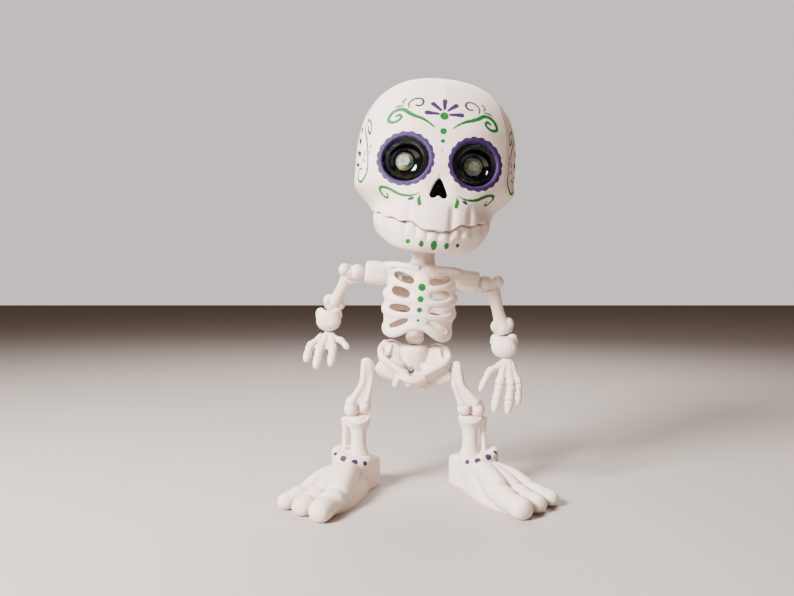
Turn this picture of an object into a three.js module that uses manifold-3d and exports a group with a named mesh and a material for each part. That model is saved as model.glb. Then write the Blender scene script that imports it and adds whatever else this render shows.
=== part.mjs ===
// A small standing skeleton figurine with an oversized head, printed as loose bones that
// clip together at the joints and painted off-white as a sugar skull. Millimetres, +Z up.
// The figure faces -Y and stands on its own two feet at Z = 0, with the origin under the
// middle of its box. Left and right are the figure's own: its left side is at +X.
import * as THREE from 'three';
import { mergeVertices } from 'three/addons/utils/BufferGeometryUtils.js';
import Module from 'manifold-3d';

const wasm = await Module();
wasm.setup();

// Driving dimensions
const DEG = Math.PI / 180;
const JOINT_GAP = 0.3;
const SOCKET_GAP = 0.4;

// Middle of the footprint as the places below are measured, which the origin moves to.
const FOOTPRINT_MIDDLE = [0.75, -7.09];

const HEAD_AT = [6.9, -5, 116];
const HEAD_ROLL = 4.4 * DEG;
const HEAD_YAW = 2 * DEG;
const CROWN_HEIGHT = 31.8;
const HEAD_HALF_WIDTH = 28.3;
const FACE_FORWARD = 25.6;
const HEAD_BACK = 29;
const BASE_DROP = 16.5;
const EYE_SPREAD = 11.5;
const EYE_DROP = 1.7;
const SOCKET = { halfWidth: 7.5, halfHeight: 7.1, depth: 6.6, inset: 2 };
const NOSE_DROP = 11.4;
const NOSE_HALF = 3.1;
const MOUTH_HALF_WIDTH = 20.6;
const MOUTH_DROP = 24.5;
const MOUTH_RISE = 7.4;
const CHIN_DROP = 31.2;
const TEETH_ACROSS = 10;
const TOOTH_RELIEF = 1;
const CHEEKBONE = 1.2;
const CHEEK_HOLLOW = 1.6;
const GEM_RADIUS = 3.1;
const GEM_HEIGHT = 2.3;
const GEM_RISE = 0.4;
const SEAT_DEPTH = 1.2;

const CHEST_AT = [1.7, 0, 68];
const CHEST_ROLL = 5.4 * DEG;
const CHEST_HALF_DEPTH = 9.3;
const RIB_WALL = 1.9;
const NECK_TOP = 30.6;
const SHOULDER_SPREAD = 16.9;
const SHOULDER_RISE = 9.4;
const SPINE_BALL = { at: [-0.5, 1, -12.5], radius: 3.5 };

const PELVIS_AT = [-0.5, 0, 46];
const PELVIS_ROLL = 5.2 * DEG;
const PELVIS_HALF_WIDTH = 13.8;
const PELVIS_HALF_DEPTH = 8.8;

const TOE_TIPS = [
  { reach: 35.6, out: -8.6, radius: 4.4, height: 7.6 },
  { reach: 33.4, out: -0.2, radius: 3.9, height: 7.0 },
  { reach: 30.8, out: 8.0, radius: 3.5, height: 6.6 },
];

// Right side first: the figure's right is at -X and its pose is the more swung one.
const SIDES = [
  {
    name: 'right',
    side: -1,
    arm: { at: [-23.4, 0, 79.7], swing: 38 * DEG, lift: 24.8 * DEG },
    forearm: { at: [-31.9, 10.6, 62.1], pitch: 2 * DEG, turn: 0 },
    hand: { at: [-31.6, 2.2, 56.7], pitch: -16 * DEG, roll: 8 * DEG, curl: 34 * DEG, fan: 1.3, thumb: 58, grasp: 0.8 },
    thigh: { at: [-18, -1, 47.7], lift: -4 * DEG },
    shin: { at: [-20.6, -1.4, 12.2] },
    foot: { at: [-22.8, -2, 0], toeOut: 28 * DEG },
  },
  {
    name: 'left',
    side: 1,
    arm: { at: [27.9, 0, 75.4], swing: 3 * DEG, lift: 14.5 * DEG },
    forearm: { at: [32.6, 1.2, 52.9], pitch: 1 * DEG, turn: 7 * DEG },
    hand: { at: [32.4, -8, 48.1], pitch: 0, roll: 0, curl: 4 * DEG, fan: 1, thumb: 38, grasp: 1 },
    thigh: { at: [15, -0.4, 46.4], lift: 4.5 * DEG },
    shin: { at: [20.2, -0.4, 12.2] },
    foot: { at: [23.1, 0, 0], toeOut: 31.5 * DEG },
  },
];

const PAINT = { color: 0xe8dcd2, roughness: 0.42, metalness: 0 };
const CRYSTAL = { color: 0xc9dfe6, roughness: 0.08, metalness: 0.1 };

// Building blocks

function point(x, y, z) {
  return new THREE.Vector3(x, y, z);
}

function smoothstep(x, low, high) {
  const t = Math.min(1, Math.max(0, (x - low) / (high - low)));
  return t * t * (3 - 2 * t);
}

// Reads a curve given by a few [position, value] pairs, with straight stretches between them.
function between(pairs, x) {
  let last = pairs[0];
  for (const next of pairs) {
    if (x <= next[0]) {
      const span = next[0] - last[0];
      return span === 0 ? next[1] : last[1] + (next[1] - last[1]) * (x - last[0]) / span;
    }
    last = next;
  }
  return last[1];
}

// A closed geometry from points and faces, turned outwards whichever way the faces run.
function faceted(points, faces) {
  let volume = 0;
  for (let f = 0; f < faces.length; f += 3) {
    volume += points[faces[f]].dot(points[faces[f + 1]].clone().cross(points[faces[f + 2]]));
  }
  if (volume < 0) faces.reverse();
  const geometry = new THREE.BufferGeometry();
  geometry.setAttribute('position', new THREE.Float32BufferAttribute(points.flatMap((p) => p.toArray()), 3));
  geometry.setIndex(faces);
  return geometry;
}

// A skin through rings of points, closed at each end by a fan to the middle of its ring, or
// to a given hub.
function skin(rings, hubs = []) {
  const columns = rings[0].length;
  const points = rings.flat();
  const faces = [];
  for (let ring = 0; ring + 1 < rings.length; ring += 1) {
    for (let column = 0; column < columns; column += 1) {
      const here = ring * columns + column;
      const next = ring * columns + (column + 1) % columns;
      faces.push(here, next, next + columns, here, next + columns, here + columns);
    }
  }
  for (const [ring, order] of [[0, -1], [rings.length - 1, 1]]) {
    const middle = rings[ring].reduce((sum, p) => sum.add(p), point(0, 0, 0)).divideScalar(columns);
    const hub = points.push(hubs[ring] ?? middle) - 1;
    for (let column = 0; column < columns; column += 1) {
      const here = ring * columns + column;
      const next = ring * columns + (column + 1) % columns;
      faces.push(hub, order > 0 ? here : next, order > 0 ? next : here);
    }
  }
  return faceted(points, faces);
}

// Unit outline of a rounded section: power 2 is an ellipse, a higher power is squarer.
function outline(columns, power = 2) {
  return Array.from({ length: columns }, (_, i) => {
    const angle = 2 * Math.PI * (i + 0.5) / columns;
    const c = Math.cos(angle);
    const s = Math.sin(angle);
    return [Math.sign(c) * Math.abs(c) ** (2 / power), Math.sign(s) * Math.abs(s) ** (2 / power)];
  });
}

// Sections stacked up Z. A row is [z, x, y, half width, half depth].
function stack(rows, columns = 10, power = 2) {
  return skin(rows.map(([z, x, y, a, b]) =>
    outline(columns, power).map(([c, s]) => point(x + a * c, y + b * s, z))));
}

// A bone drawn from one point to another. A profile row is [share of the length, half width,
// half depth], and the width lies along the side direction.
function rod(from, to, profile, side = point(1, 0, 0), columns = 8) {
  const axis = to.clone().sub(from);
  const depth = axis.clone().cross(side).normalize();
  const width = depth.clone().cross(axis).normalize();
  return skin(profile.map(([share, a, b = a]) => {
    const middle = from.clone().addScaledVector(axis, share);
    return outline(columns).map(([c, s]) =>
      middle.clone().addScaledVector(width, a * c).addScaledVector(depth, b * s));
  }));
}

// A bone that bends: sections square to a path of points, each with its own radius.
function chain(stations, columns = 5) {
  return skin(stations.map(({ at, radius }, i) => {
    const before = stations[Math.max(0, i - 1)].at;
    const after = stations[Math.min(stations.length - 1, i + 1)].at;
    const axis = after.clone().sub(before).normalize();
    const depth = axis.clone().cross(point(1, 0, 0.2)).normalize();
    const width = depth.clone().cross(axis).normalize();
    return outline(columns).map(([c, s]) =>
      at.clone().addScaledVector(width, radius * c).addScaledVector(depth, radius * s));
  }));
}

function ellipsoid(at, radii, turn = [0, 0, 0], columns = 8, rows = 5) {
  const geometry = new THREE.SphereGeometry(1, columns, rows);
  geometry.rotateX(Math.PI / 2);
  geometry.scale(...radii);
  geometry.rotateX(turn[0]);
  geometry.rotateY(turn[1]);
  geometry.rotateZ(turn[2]);
  geometry.translate(...at);
  return geometry;
}

function box(low, high) {
  const size = low.map((value, axis) => high[axis] - value);
  return new THREE.BoxGeometry(...size).translate(...low.map((value, axis) => value + size[axis] / 2));
}

function solid(geometry) {
  const bare = geometry.clone();
  bare.deleteAttribute('normal');
  bare.deleteAttribute('uv');
  const merged = mergeVertices(bare, 1e-5);
  return new wasm.Manifold(new wasm.Mesh({
    numProp: 3,
    vertProperties: new Float32Array(merged.attributes.position.array),
    triVerts: new Uint32Array(merged.index.array),
  }));
}

function joined(...geometries) {
  return geometries.map(solid).reduce((whole, piece) => whole.add(piece));
}

function cut(whole, ...geometries) {
  return geometries.map(solid).reduce((rest, piece) => rest.subtract(piece), whole);
}

// Turns a solid back into a geometry, mirrored across X for the figure's right side.
function geometryOf(manifold, side = 1) {
  const mesh = manifold.getMesh();
  const positions = Float32Array.from(mesh.vertProperties, (value, i) => (i % 3 === 0 ? side * value : value));
  const faces = Uint32Array.from(mesh.triVerts);
  if (side < 0) faces.reverse();
  const geometry = new THREE.BufferGeometry();
  geometry.setAttribute('position', new THREE.BufferAttribute(positions, 3));
  geometry.setIndex(new THREE.BufferAttribute(faces, 1));
  geometry.computeVertexNormals();
  return geometry;
}

function piece(name, manifold, look = PAINT, side = 1) {
  const mesh = new THREE.Mesh(geometryOf(manifold, side), new THREE.MeshStandardMaterial(look));
  mesh.name = name;
  return mesh;
}

function frame(parent, at, rotation = [0, 0, 0]) {
  const group = new THREE.Group();
  group.position.set(...at);
  group.rotation.set(...rotation);
  parent.add(group);
  group.updateWorldMatrix(true, false);
  return group;
}

// Carries a geometry from one frame to another, for a cut that follows a neighbour's shape.
// A limb's bones are drawn with X outwards, so the side mirrors them on the way in and out,
// while the trunk's bones are drawn as they stand.
function carried(geometry, from, to, side = 1, ofLimb = true) {
  const mirror = new THREE.Matrix4().makeScale(side, 1, 1);
  const move = to.matrixWorld.clone().invert().multiply(from.matrixWorld);
  const path = mirror.clone().multiply(move);
  if (ofLimb) path.multiply(mirror);
  const moved = geometry.clone().applyMatrix4(path);
  if (path.determinant() < 0) moved.index.array.reverse();
  return moved;
}

// The head

// The head is drawn towards an angle round its middle, 0 straight ahead and 180 behind. In
// front it reaches down to the line where the teeth meet, at the back only to its base.
const FACE_COLUMNS = 21;
const NAPE_COLUMNS = 9;
const FACE_STEP = 180 / (FACE_COLUMNS - 1);

// Height of the line where the teeth meet: lowest in the middle, up to the mouth corners,
// with a small wave for each tooth.
function biteLine(degrees) {
  const rise = MOUTH_RISE * Math.abs(Math.sin(degrees * DEG)) ** 2.4;
  return rise - MOUTH_DROP + 0.35 * Math.cos(degrees * DEG * TEETH_ACROSS * 2);
}

// Shallow flutes that part the teeth: 1 on a tooth and 0 between two of them.
function toothSwell(degrees) {
  return Math.abs(Math.cos(degrees * DEG * TEETH_ACROSS));
}

// A point of a rounded plan outline towards an angle.
function planPoint(degrees, halfWidth, forward, z) {
  const across = Math.sin(degrees * DEG);
  const ahead = Math.cos(degrees * DEG);
  return point(Math.sign(across) * Math.abs(across) ** 0.86 * halfWidth,
    -Math.sign(ahead) * Math.abs(ahead) ** 0.86 * forward, z);
}

// Share of the full plan size left at a height of the dome above the eyes.
function domeShare(z, fullness) {
  return Math.max(0, 1 - (Math.max(0, z) / CROWN_HEIGHT) ** 2.6) ** (1 / fullness);
}

function hump(value, middle, spread) {
  return Math.exp(-(((value - middle) / spread) ** 2));
}

// Surface of the head: dome, cheekbones over hollow cheeks, and the fluted upper jaw.
function headPoint(degrees, z) {
  const aside = Math.abs(degrees);
  const below = Math.max(0, -z);
  const relief = CHEEKBONE * hump(aside, 66, 13) * hump(z, -9.5, 3)
    - CHEEK_HOLLOW * hump(aside, 50, 12) * hump(z, -14.5, 3.4)
    + TOOTH_RELIEF * (toothSwell(degrees) - 0.5) * smoothstep(below, 11, 18) * (aside < 89 ? 1 : 0);
  const width = HEAD_HALF_WIDTH * domeShare(z, 2.2) * (1 - 0.25 * smoothstep(below, 7, 17.5));
  const front = FACE_FORWARD * domeShare(z, 1.7) - 1.2 * hump(z, -8.5, 5) + 0.9 * smoothstep(below, 10, 22);
  const back = HEAD_BACK * domeShare(z, 1.8) * (1 - 0.48 * (below / BASE_DROP) ** 2.6);
  return planPoint(degrees, width + relief, aside <= 90 ? front + relief : back, z);
}

function headShell() {
  const face = Array.from({ length: FACE_COLUMNS }, (_, i) => i * FACE_STEP - 90);
  const nape = Array.from({ length: NAPE_COLUMNS }, (_, i) => 90 + (i + 1) * 180 / (NAPE_COLUMNS + 1));
  const shares = [0, 0.06, 0.12, 0.17, 0.22, 0.27, 0.33, 0.42, 0.53, 0.64, 0.74, 0.83, 0.9, 0.955, 0.99];
  return skin(shares.map((share) => [...face, ...nape].map((degrees) => {
    const bottom = degrees <= 90 ? biteLine(degrees) : -BASE_DROP;
    const z = bottom + (CROWN_HEIGHT - bottom) * share;
    return headPoint(degrees > 180 ? degrees - 360 : degrees, z);
  })), [point(0, 4, -BASE_DROP)]);
}

// The lower jaw: a horseshoe of teeth and chin, open behind and hollow in the middle.
function lowerJaw() {
  const rows = [[1, 1, 1], [0.5, 0.985, 0.7], [0.16, 0.94, 0], [0, 0.82, 0]];
  const rings = rows.map(([share, reach, teeth]) => {
    const front = Array.from({ length: FACE_COLUMNS }, (_, i) => {
      const degrees = i * FACE_STEP - 90;
      const bottom = 5.5 * Math.abs(Math.sin(degrees * DEG)) ** 4 - CHIN_DROP;
      const top = biteLine(degrees) - JOINT_GAP;
      const swell = TOOTH_RELIEF * teeth * (toothSwell(degrees) - 0.5);
      return planPoint(degrees, MOUTH_HALF_WIDTH * reach + swell, (FACE_FORWARD - 0.2) * reach + swell,
        bottom + (top - bottom) * share);
    });
    return [...front, point(12, 4, front.at(-1).z), point(-12, 4, front[0].z)];
  });
  const hollow = stack([[-40, 0, 2, 13.5, 17], [-10, 0, 2, 13.5, 17]], 12, 2.3);
  return cut(solid(skin(rings, [point(0, 0, -MOUTH_DROP + 2)])), hollow);
}

function noseHole() {
  const r = NOSE_HALF;
  const shape = new THREE.Shape();
  shape.moveTo(0, r * 1.1);
  shape.quadraticCurveTo(r * 0.7, r * 0.9, r, -r * 0.5);
  shape.quadraticCurveTo(r * 0.9, -r * 1.15, r * 0.25, -r * 0.95);
  shape.lineTo(0, -r * 0.7);
  shape.lineTo(-r * 0.25, -r * 0.95);
  shape.quadraticCurveTo(-r * 0.9, -r * 1.15, -r, -r * 0.5);
  shape.quadraticCurveTo(-r * 0.7, r * 0.9, 0, r * 1.1);
  const geometry = new THREE.ExtrudeGeometry(shape, { depth: 8, bevelEnabled: false, curveSegments: 3 });
  return geometry.rotateX(Math.PI / 2).translate(0, -FACE_FORWARD + 5.4, -NOSE_DROP);
}

function eyeAt(side) {
  return [side * EYE_SPREAD, SOCKET.inset + SOCKET.depth - FACE_FORWARD, GEM_RISE - EYE_DROP];
}

function skull() {
  const sockets = [-1, 1].map((side) => ellipsoid(
    [side * EYE_SPREAD, SOCKET.inset - FACE_FORWARD, -EYE_DROP],
    [SOCKET.halfWidth, SOCKET.depth, SOCKET.halfHeight], [0, 0, 0], 12, 8));
  const seats = [-1, 1].map((side) => {
    const [x, y, z] = eyeAt(side);
    const radius = GEM_RADIUS + JOINT_GAP;
    return rod(point(x, y + SEAT_DEPTH, z), point(x, y - 9, z), [[0, radius], [1, radius]], point(1, 0, 0), 10);
  });
  return cut(solid(headShell()), ...sockets, ...seats, noseHole());
}

// A flat-backed cut stone: straight girdle, sloping crown facets and a flat table.
function eyeStone(side) {
  const [x, y, z] = eyeAt(side);
  const back = y + SEAT_DEPTH - JOINT_GAP;
  return solid(rod(point(x, back, z), point(x, back - GEM_HEIGHT, z),
    [[0, GEM_RADIUS], [0.4, GEM_RADIUS], [1, GEM_RADIUS * 0.55]], point(1, 0, 0), 10));
}

// The chest

// Heights of each rib at the breastbone, at the front bow, at the side and at the spine.
const RIBS = [
  { heights: [9.6, 11.4, 12, 12.4], halfWidth: 11.8, depth: 0.82 },
  { heights: [4.6, 5.9, 8, 9.2], halfWidth: 13.2, depth: 0.95 },
  { heights: [-0.5, 0.4, 2.7, 4.2], halfWidth: 14, depth: 1 },
  { heights: [-4.7, -5.1, -2.9, -1], halfWidth: 14, depth: 1 },
  { heights: [-8.2, -11.2, -9.6, -6.4], halfWidth: 13.1, depth: 0.94 },
];
const RIB_STATIONS = [0, 40, 90, 180];

function ribHeight(rib, degrees) {
  return between(RIB_STATIONS.map((station, i) => [station, rib.heights[i]]), degrees);
}

const RIB_HALF_HEIGHT = 1.7;
const RIB_COLUMNS = 18;
const COLUMN_TURN = 360 / RIB_COLUMNS;

// One row of points round the chest at a rib: rise above the rib's middle, and relief out of
// the wall. Columns gather towards the breastbone in front and the backbone behind, where the
// wall stands out by a bone's thickness.
function chestRow(rib, rise, relief, bone = 0) {
  return Array.from({ length: RIB_COLUMNS }, (_, column) => {
    const even = column * COLUMN_TURN;
    const turn = even - 7 * Math.sin(2 * even * DEG);
    const atBone = column === 0 || column === RIB_COLUMNS / 2;
    const out = relief + (atBone ? bone - 0.6 * relief : 0);
    const x = Math.sin(turn * DEG) * (rib.halfWidth + out);
    const y = -Math.cos(turn * DEG) * (CHEST_HALF_DEPTH * rib.depth + out);
    return point(x, y, ribHeight(rib, Math.min(turn, 360 - turn)) + rise);
  });
}

// Whether the wall is open between two ribs: in front of the sides and behind them, but not at
// the breastbone or the spine.
function isOpening(row, column) {
  const fromFront = Math.min(column, RIB_COLUMNS - 1 - column);
  const betweenRibs = row % 3 === 2;
  return betweenRibs && [1, 2, 6, 7].includes(fromFront);
}

// The wall of the chest as a grid of cells with an outer and an inner face. An open cell leaves
// both faces out, and the cells round it get an edge face there.
function chestWall() {
  const outer = [];
  const inner = [];
  for (const rib of [...RIBS].reverse()) {
    for (const rise of [-1, 0, 1]) {
      outer.push(chestRow(rib, rise * RIB_HALF_HEIGHT, rise === 0 ? 0.2 : -0.6, 1));
      inner.push(chestRow(rib, rise * RIB_HALF_HEIGHT, -RIB_WALL - 0.4));
    }
  }
  const points = [...outer, ...inner].flat();
  const faces = [];
  const rows = outer.length - 1;
  const id = (layer, row, column) => (layer * (rows + 1) + row) * RIB_COLUMNS + (column + RIB_COLUMNS) % RIB_COLUMNS;
  const quad = (a, b, c, d) => faces.push(a, b, c, a, c, d);
  const open = (row, column) => row < 0 || row >= rows || isOpening(row, (column + RIB_COLUMNS) % RIB_COLUMNS);
  for (let row = 0; row < rows; row += 1) {
    for (let column = 0; column < RIB_COLUMNS; column += 1) {
      if (open(row, column)) continue;
      const corners = [[row, column], [row, column + 1], [row + 1, column + 1], [row + 1, column]];
      quad(...corners.map(([r, c]) => id(0, r, c)));
      quad(...corners.map(([r, c]) => id(1, r, c)).reverse());
      const beyond = [[row - 1, column], [row, column + 1], [row + 1, column], [row, column - 1]];
      beyond.forEach(([r, c], i) => {
        if (!open(r, c)) return;
        const from = corners[i];
        const to = corners[(i + 1) % 4];
        quad(id(0, ...to), id(0, ...from), id(1, ...from), id(1, ...to));
      });
    }
  }
  return faceted(points, faces);
}

function shoulderBlock(side) {
  return rod(point(side * (SHOULDER_SPREAD - 4.1), 0.4, SHOULDER_RISE + 0.2),
    point(side * (SHOULDER_SPREAD + 3.9), 0.4, SHOULDER_RISE),
    [[-0.5, 2.6, 3], [0, 3.6, 3.9], [0.35, 4, 4.3], [0.9, 3.9, 4.3], [1, 3.1, 3.5]],
    point(0, 1, 0), 8);
}

function chest() {
  const lumbar = rod(point(0, 8, -6.8), point(SPINE_BALL.at[0], 1, SPINE_BALL.at[2] + 1), [[0, 2.1], [1, 2.1]],
    point(1, 0, 0), 6);
  const neck = stack([
    [12, 0, 1, 7.2, 5.2], [14.6, 0, 1, 4.8, 4.2], [17, -0.1, 1, 4, 3.8],
    [NECK_TOP, -0.6, 0.6, 3.9, 3.8]], 8, 3);
  const yoke = stack([[9.8, 0, 0, 10.6, 6.4], [12.4, 0, 0, 11, 6.6], [14.2, 0, 0.2, 7.6, 5]], 10, 2.3);
  return joined(chestWall(), yoke, lumbar, neck, shoulderBlock(-1), shoulderBlock(1),
    ellipsoid(SPINE_BALL.at, Array(3).fill(SPINE_BALL.radius), [0, 0, 0], 9, 6));
}

// The pelvis

// Rim height of the hip bowl towards an angle from the front: low at the pubic joint in
// front, up to a corner at each side, highest at the wings behind.
const RIM = [[0, -3.6], [22, -2.6], [45, 0.2], [66, 1.6], [84, 4.6], [106, 7.4], [132, 7.9], [158, 6], [180, 4.6]];

function bowl(thickness, floor) {
  const columns = 18;
  const shares = thickness > 0 ? [0, 0.5, 1] : [0, 0.2, 0.55, 1];
  return skin(shares.map((share) => Array.from({ length: columns }, (_, i) => {
    const angle = 2 * Math.PI * (i + 0.5) / columns;
    const degrees = Math.acos(Math.cos(angle)) / DEG;
    const rim = between(RIM, degrees) + (thickness > 0 ? 3 : 0);
    const z = floor + (rim - floor) * share;
    const reach = between([[-7.6, 0.34], [-6.4, 0.5], [-3, 0.78], [0.5, 0.97], [3.4, 1], [7.9, 0.84], [12, 0.7]], z);
    const depth = PELVIS_HALF_DEPTH * reach - thickness;
    const behind = thickness > 0 && Math.cos(angle) < 0 ? 0.35 : 1;
    return point(Math.sin(angle) * (PELVIS_HALF_WIDTH * reach - thickness), -Math.cos(angle) * depth * behind, z);
  })));
}

function hipStub(side, grow = 0) {
  const rows = [[0, 1.8], [0.4, 3], [0.9, 2.9], [1, 2.5]].map(([share, radius]) => [share, radius + grow]);
  return rod(point(side * 4.5, 0.5, -6), point(side * (13.5 + grow), 0.3, -2.2), rows, point(0, 1, 0), 7);
}

function pelvis(ball) {
  const cup = stack([[-4, 0, 3.4, 4.4, 3.4], [0, 0, 2.6, 5.3, 4.6], [4.8, 0, 1.6, 5.1, 4.8],
    [6.4, 0, 1.6, 4, 3.8]], 8);
  const pubis = ellipsoid([0, -6.6, -5.2], [4.6, 1.9, 2.2], [0, 0, 0], 7, 4);
  const lumps = [[-5.6, -3.4, -7.6], [-1, -5.4, -7.4], [4, -3.4, -7.8]].map((at) =>
    ellipsoid(at, [1.8, 1.8, 2], [0, 0, 0], 6, 4));
  const whole = cut(solid(bowl(0, -7.2)), bowl(1.7, -5.2));
  const window = rod(point(-0.6, -9, -3.1), point(-0.6, 8, -3.1), [[0, 1.5, 1.2], [1, 1.5, 1.2]], point(1, 0, 0), 6);
  const body = joined(cup, pubis, ...lumps, hipStub(-1), hipStub(1)).add(whole);
  return cut(body, ball, window);
}

// Arms

const ELBOW_DROP = 18.6;

function upperArm() {
  return joined(
    stack([[1.6, 0.9, 0, 2.2, 1.8], [0.2, 0.6, 0, 3, 2.6], [-4, 0, 0, 2.7, 2.4],
      [-9, 0, 0, 2.25, 2.05], [-13, 0, 0, 2.4, 2.1], [-16, 0.1, 0, 3.3, 2.6], [-ELBOW_DROP + 0.6, 0.2, 0, 4.2, 3],
      [-ELBOW_DROP - 1.1, 0.2, 0, 3, 2.2]], 8),
    ellipsoid([-2, 0, 0.1], [2.6, 3, 3.1], [0, 0, 0], 8, 5),
    ellipsoid([2.6, -0.3, -0.3], [2.2, 2.3, 2.4], [0, 0, 0], 8, 5));
}

function elbowTool() {
  const grow = SOCKET_GAP;
  return stack([[-ELBOW_DROP + 3, 0.1, 0, 3.8 + grow, 2.8 + grow], [-ELBOW_DROP + 0.6, 0.2, 0, 4.2 + grow, 3 + grow],
    [-ELBOW_DROP - 1.5, 0.2, 0, 3.2 + grow, 2.4 + grow]], 8);
}

// The forearm runs forward from the elbow and ends in a broad dome over the wrist.
function forearm(elbow) {
  const body = rod(point(0, 3.6, 0), point(0, -12.4, -0.6), [
    [0, 1.8, 1.7], [0.08, 3, 2.8], [0.22, 3.5, 3.2], [0.44, 3.3, 3], [0.68, 4.4, 3.7],
    [0.83, 4.6, 3.9], [0.94, 3.5, 3], [1, 1.8, 1.5]], point(1, 0, 0), 10);
  return cut(solid(body), elbow);
}

// Thickness of a digit along its length, from the wrist over the knuckle to the tip, as
// [share of the palm bone or of the finger, share of the digit's radius].
const PALM_BONE = [[0, 0.8]];
const FINGER_BONES = [[0, 1.05], [0.24, 0.84], [0.5, 1.02], [0.9, 0.82], [1, 0.4]];

function digit(base, knuckle, tip, radius) {
  const along = (from, to, rows) => rows.map(([share, size]) =>
    ({ at: from.clone().lerp(to, share), radius: radius * size }));
  return chain([...along(base, knuckle, PALM_BONE), ...along(knuckle, tip, FINGER_BONES)]);
}

// X is outwards from the body, so the thumb lies at -X.
function hand({ curl, fan, thumb, grasp }) {
  const palm = stack([[0.2, 0, 0, 2, 1.5], [-1.4, 0.1, 0, 2.8, 1.8], [-4.4, 0.1, -0.3, 3.8, 1.5],
    [-7.6, 0.3 * fan, -0.6, 3.6 * fan, 1.2]], 6);
  const fingers = [
    { root: -1.5, tilt: -19, radius: 1.85, reach: 10.6 },
    { root: 0.3, tilt: 0, radius: 1.85, reach: 11.2 },
    { root: 2, tilt: 13, radius: 1.6, reach: 9.2 },
  ].map(({ root, tilt, radius, reach: full }) => {
    const reach = full * grasp;
    const angle = tilt * fan * DEG;
    const lean = angle * 0.3;
    const base = point(root, -0.2, -2.6);
    const knuckle = point(root + 6.6 * Math.sin(angle), -0.8, -2.6 - 6.4 * Math.cos(angle));
    const tip = knuckle.clone().add(point(reach * Math.sin(lean),
      -reach * Math.sin(curl * 0.5), -reach * Math.cos(lean) * Math.cos(curl)));
    return digit(base, knuckle, tip, radius);
  });
  const out = thumb * DEG;
  const root = point(-1.2, -0.2, -1.8);
  const knuckle = root.clone().add(point(-5.8 * Math.sin(out + 0.35), -0.6, -5.8 * Math.cos(out + 0.35)));
  const tip = knuckle.clone().add(point(-7.4 * Math.sin(out - 0.3), -0.6, -7.4 * Math.cos(out - 0.3)));
  return joined(palm, ...fingers, digit(root, knuckle, tip, 1.45));
}

// Legs

const CONDYLES = [
  { x: 1.7, z: -17.4, radius: 2.7 },
  { x: 6.5, z: -18.2, radius: 2.9 },
];

function thigh(hip) {
  const shaft = stack([
    [0, 0, 0, 1.2, 1.4], [-0.8, -0.1, 0, 2, 2], [-3, -0.4, 0, 2.7, 2.5], [-6, -0.3, 0, 3, 2.6],
    [-9, 0.5, 0, 2.9, 2.5], [-12.4, 2.2, 0, 3.6, 2.8], [-15.6, 3.8, 0, 4.5, 3.1], [-18, 4.1, 0.2, 3.7, 2.6]], 8);
  const knuckles = CONDYLES.map(({ x, z, radius }) => ellipsoid([x, -0.2, z], [radius, 3.4, radius], [0, 0, 0], 7, 5));
  const notch = rod(point(4.1, -6, -17.9), point(4.1, 1, -17.6), [[0, 0.8, 2], [1, 0.7, 1.8]], point(1, 0, 0), 6);
  return cut(joined(shaft, ...knuckles), notch, hip);
}

function kneeTools() {
  return CONDYLES.map(({ x, z, radius }) =>
    ellipsoid([x, -0.2, z], [radius + SOCKET_GAP, 3.4 + SOCKET_GAP, radius + SOCKET_GAP], [0, 0, 0], 7, 4));
}

// Shin and calf bone, measured up from the ankle, with the calf bone on the outer side.
function shin(knee) {
  const shinBone = stack([[0, 0, 0, 3.9, 3.2], [2.2, 0, 0, 3.1, 2.8], [5, 0, 0, 2.75, 2.6],
    [8.6, 0, 0, 3, 2.8], [11, 0, 0, 4, 3.3], [14.6, 0, 0, 4.1, 3.1]], 8);
  const calfBone = rod(point(5.2, 0.5, -0.2), point(4.7, 0.6, 14), [[0, 1.2], [0.3, 1.1],
    [0.7, 1.1], [0.88, 1.8], [1, 1.3]], point(1, 0, 0), 6);
  const tongue = ellipsoid([0.1, 0.6, 14.4], [1.2, 1.8, 2.4], [0, 0, 0], 6, 5);
  const head = box([1, -1.2, 10.8], [4.8, 1.6, 12.8]);
  return cut(cut(joined(shinBone, calfBone, head), ...knee).add(solid(tongue)), ...knee);
}

// The foot, drawn with the toes towards -Y and X outwards.

// Body rows: [reach from the ankle, side offset, half width, height].
const FOOT_ROWS = [[-3, -0.2, 5.6, 8], [3, -0.5, 7.6, 11.4], [10, -0.9, 9, 10.6],
  [16, -1, 10, 9], [22, -0.7, 10.4, 7.6], [27, -0.2, 9, 4.6]];

function footBody() {
  const spots = 12;
  return skin(FOOT_ROWS.map(([reach, side, half, height]) => {
    const ring = [];
    for (let i = 0; i <= spots; i += 1) {
      const angle = Math.PI * i / spots;
      const across = Math.cos(angle);
      const ridges = 0.7 * Math.cos(3 * Math.PI * across) * smoothstep(reach, 3, 14) * Math.sin(angle);
      const rise = Math.max(0, Math.sin(angle)) ** 0.62;
      ring.push(point(side + half * across, -reach, (height - 0.8 * (1 - across)) * rise + ridges - 0.5));
    }
    return ring;
  }));
}

function toe({ reach, out, radius, height }) {
  const root = out * 0.78 - 0.3;
  const middle = height * 0.5;
  const from = point(root, -20.5, middle + 0.4);
  const to = point(out, -(reach - radius * 0.2), middle - 0.4);
  const length = to.distanceTo(from);
  const rows = [[0, 0.7], [0.24, 0.93], [0.56, 1.04], [0.84, 0.92], [1, 0.4]];
  return rod(from, to, rows.map(([share, size]) =>
    [share * (length + radius * 0.2) / length, radius * size, middle * size * 1.06]), point(1, 0, 0), 7);
}

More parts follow.
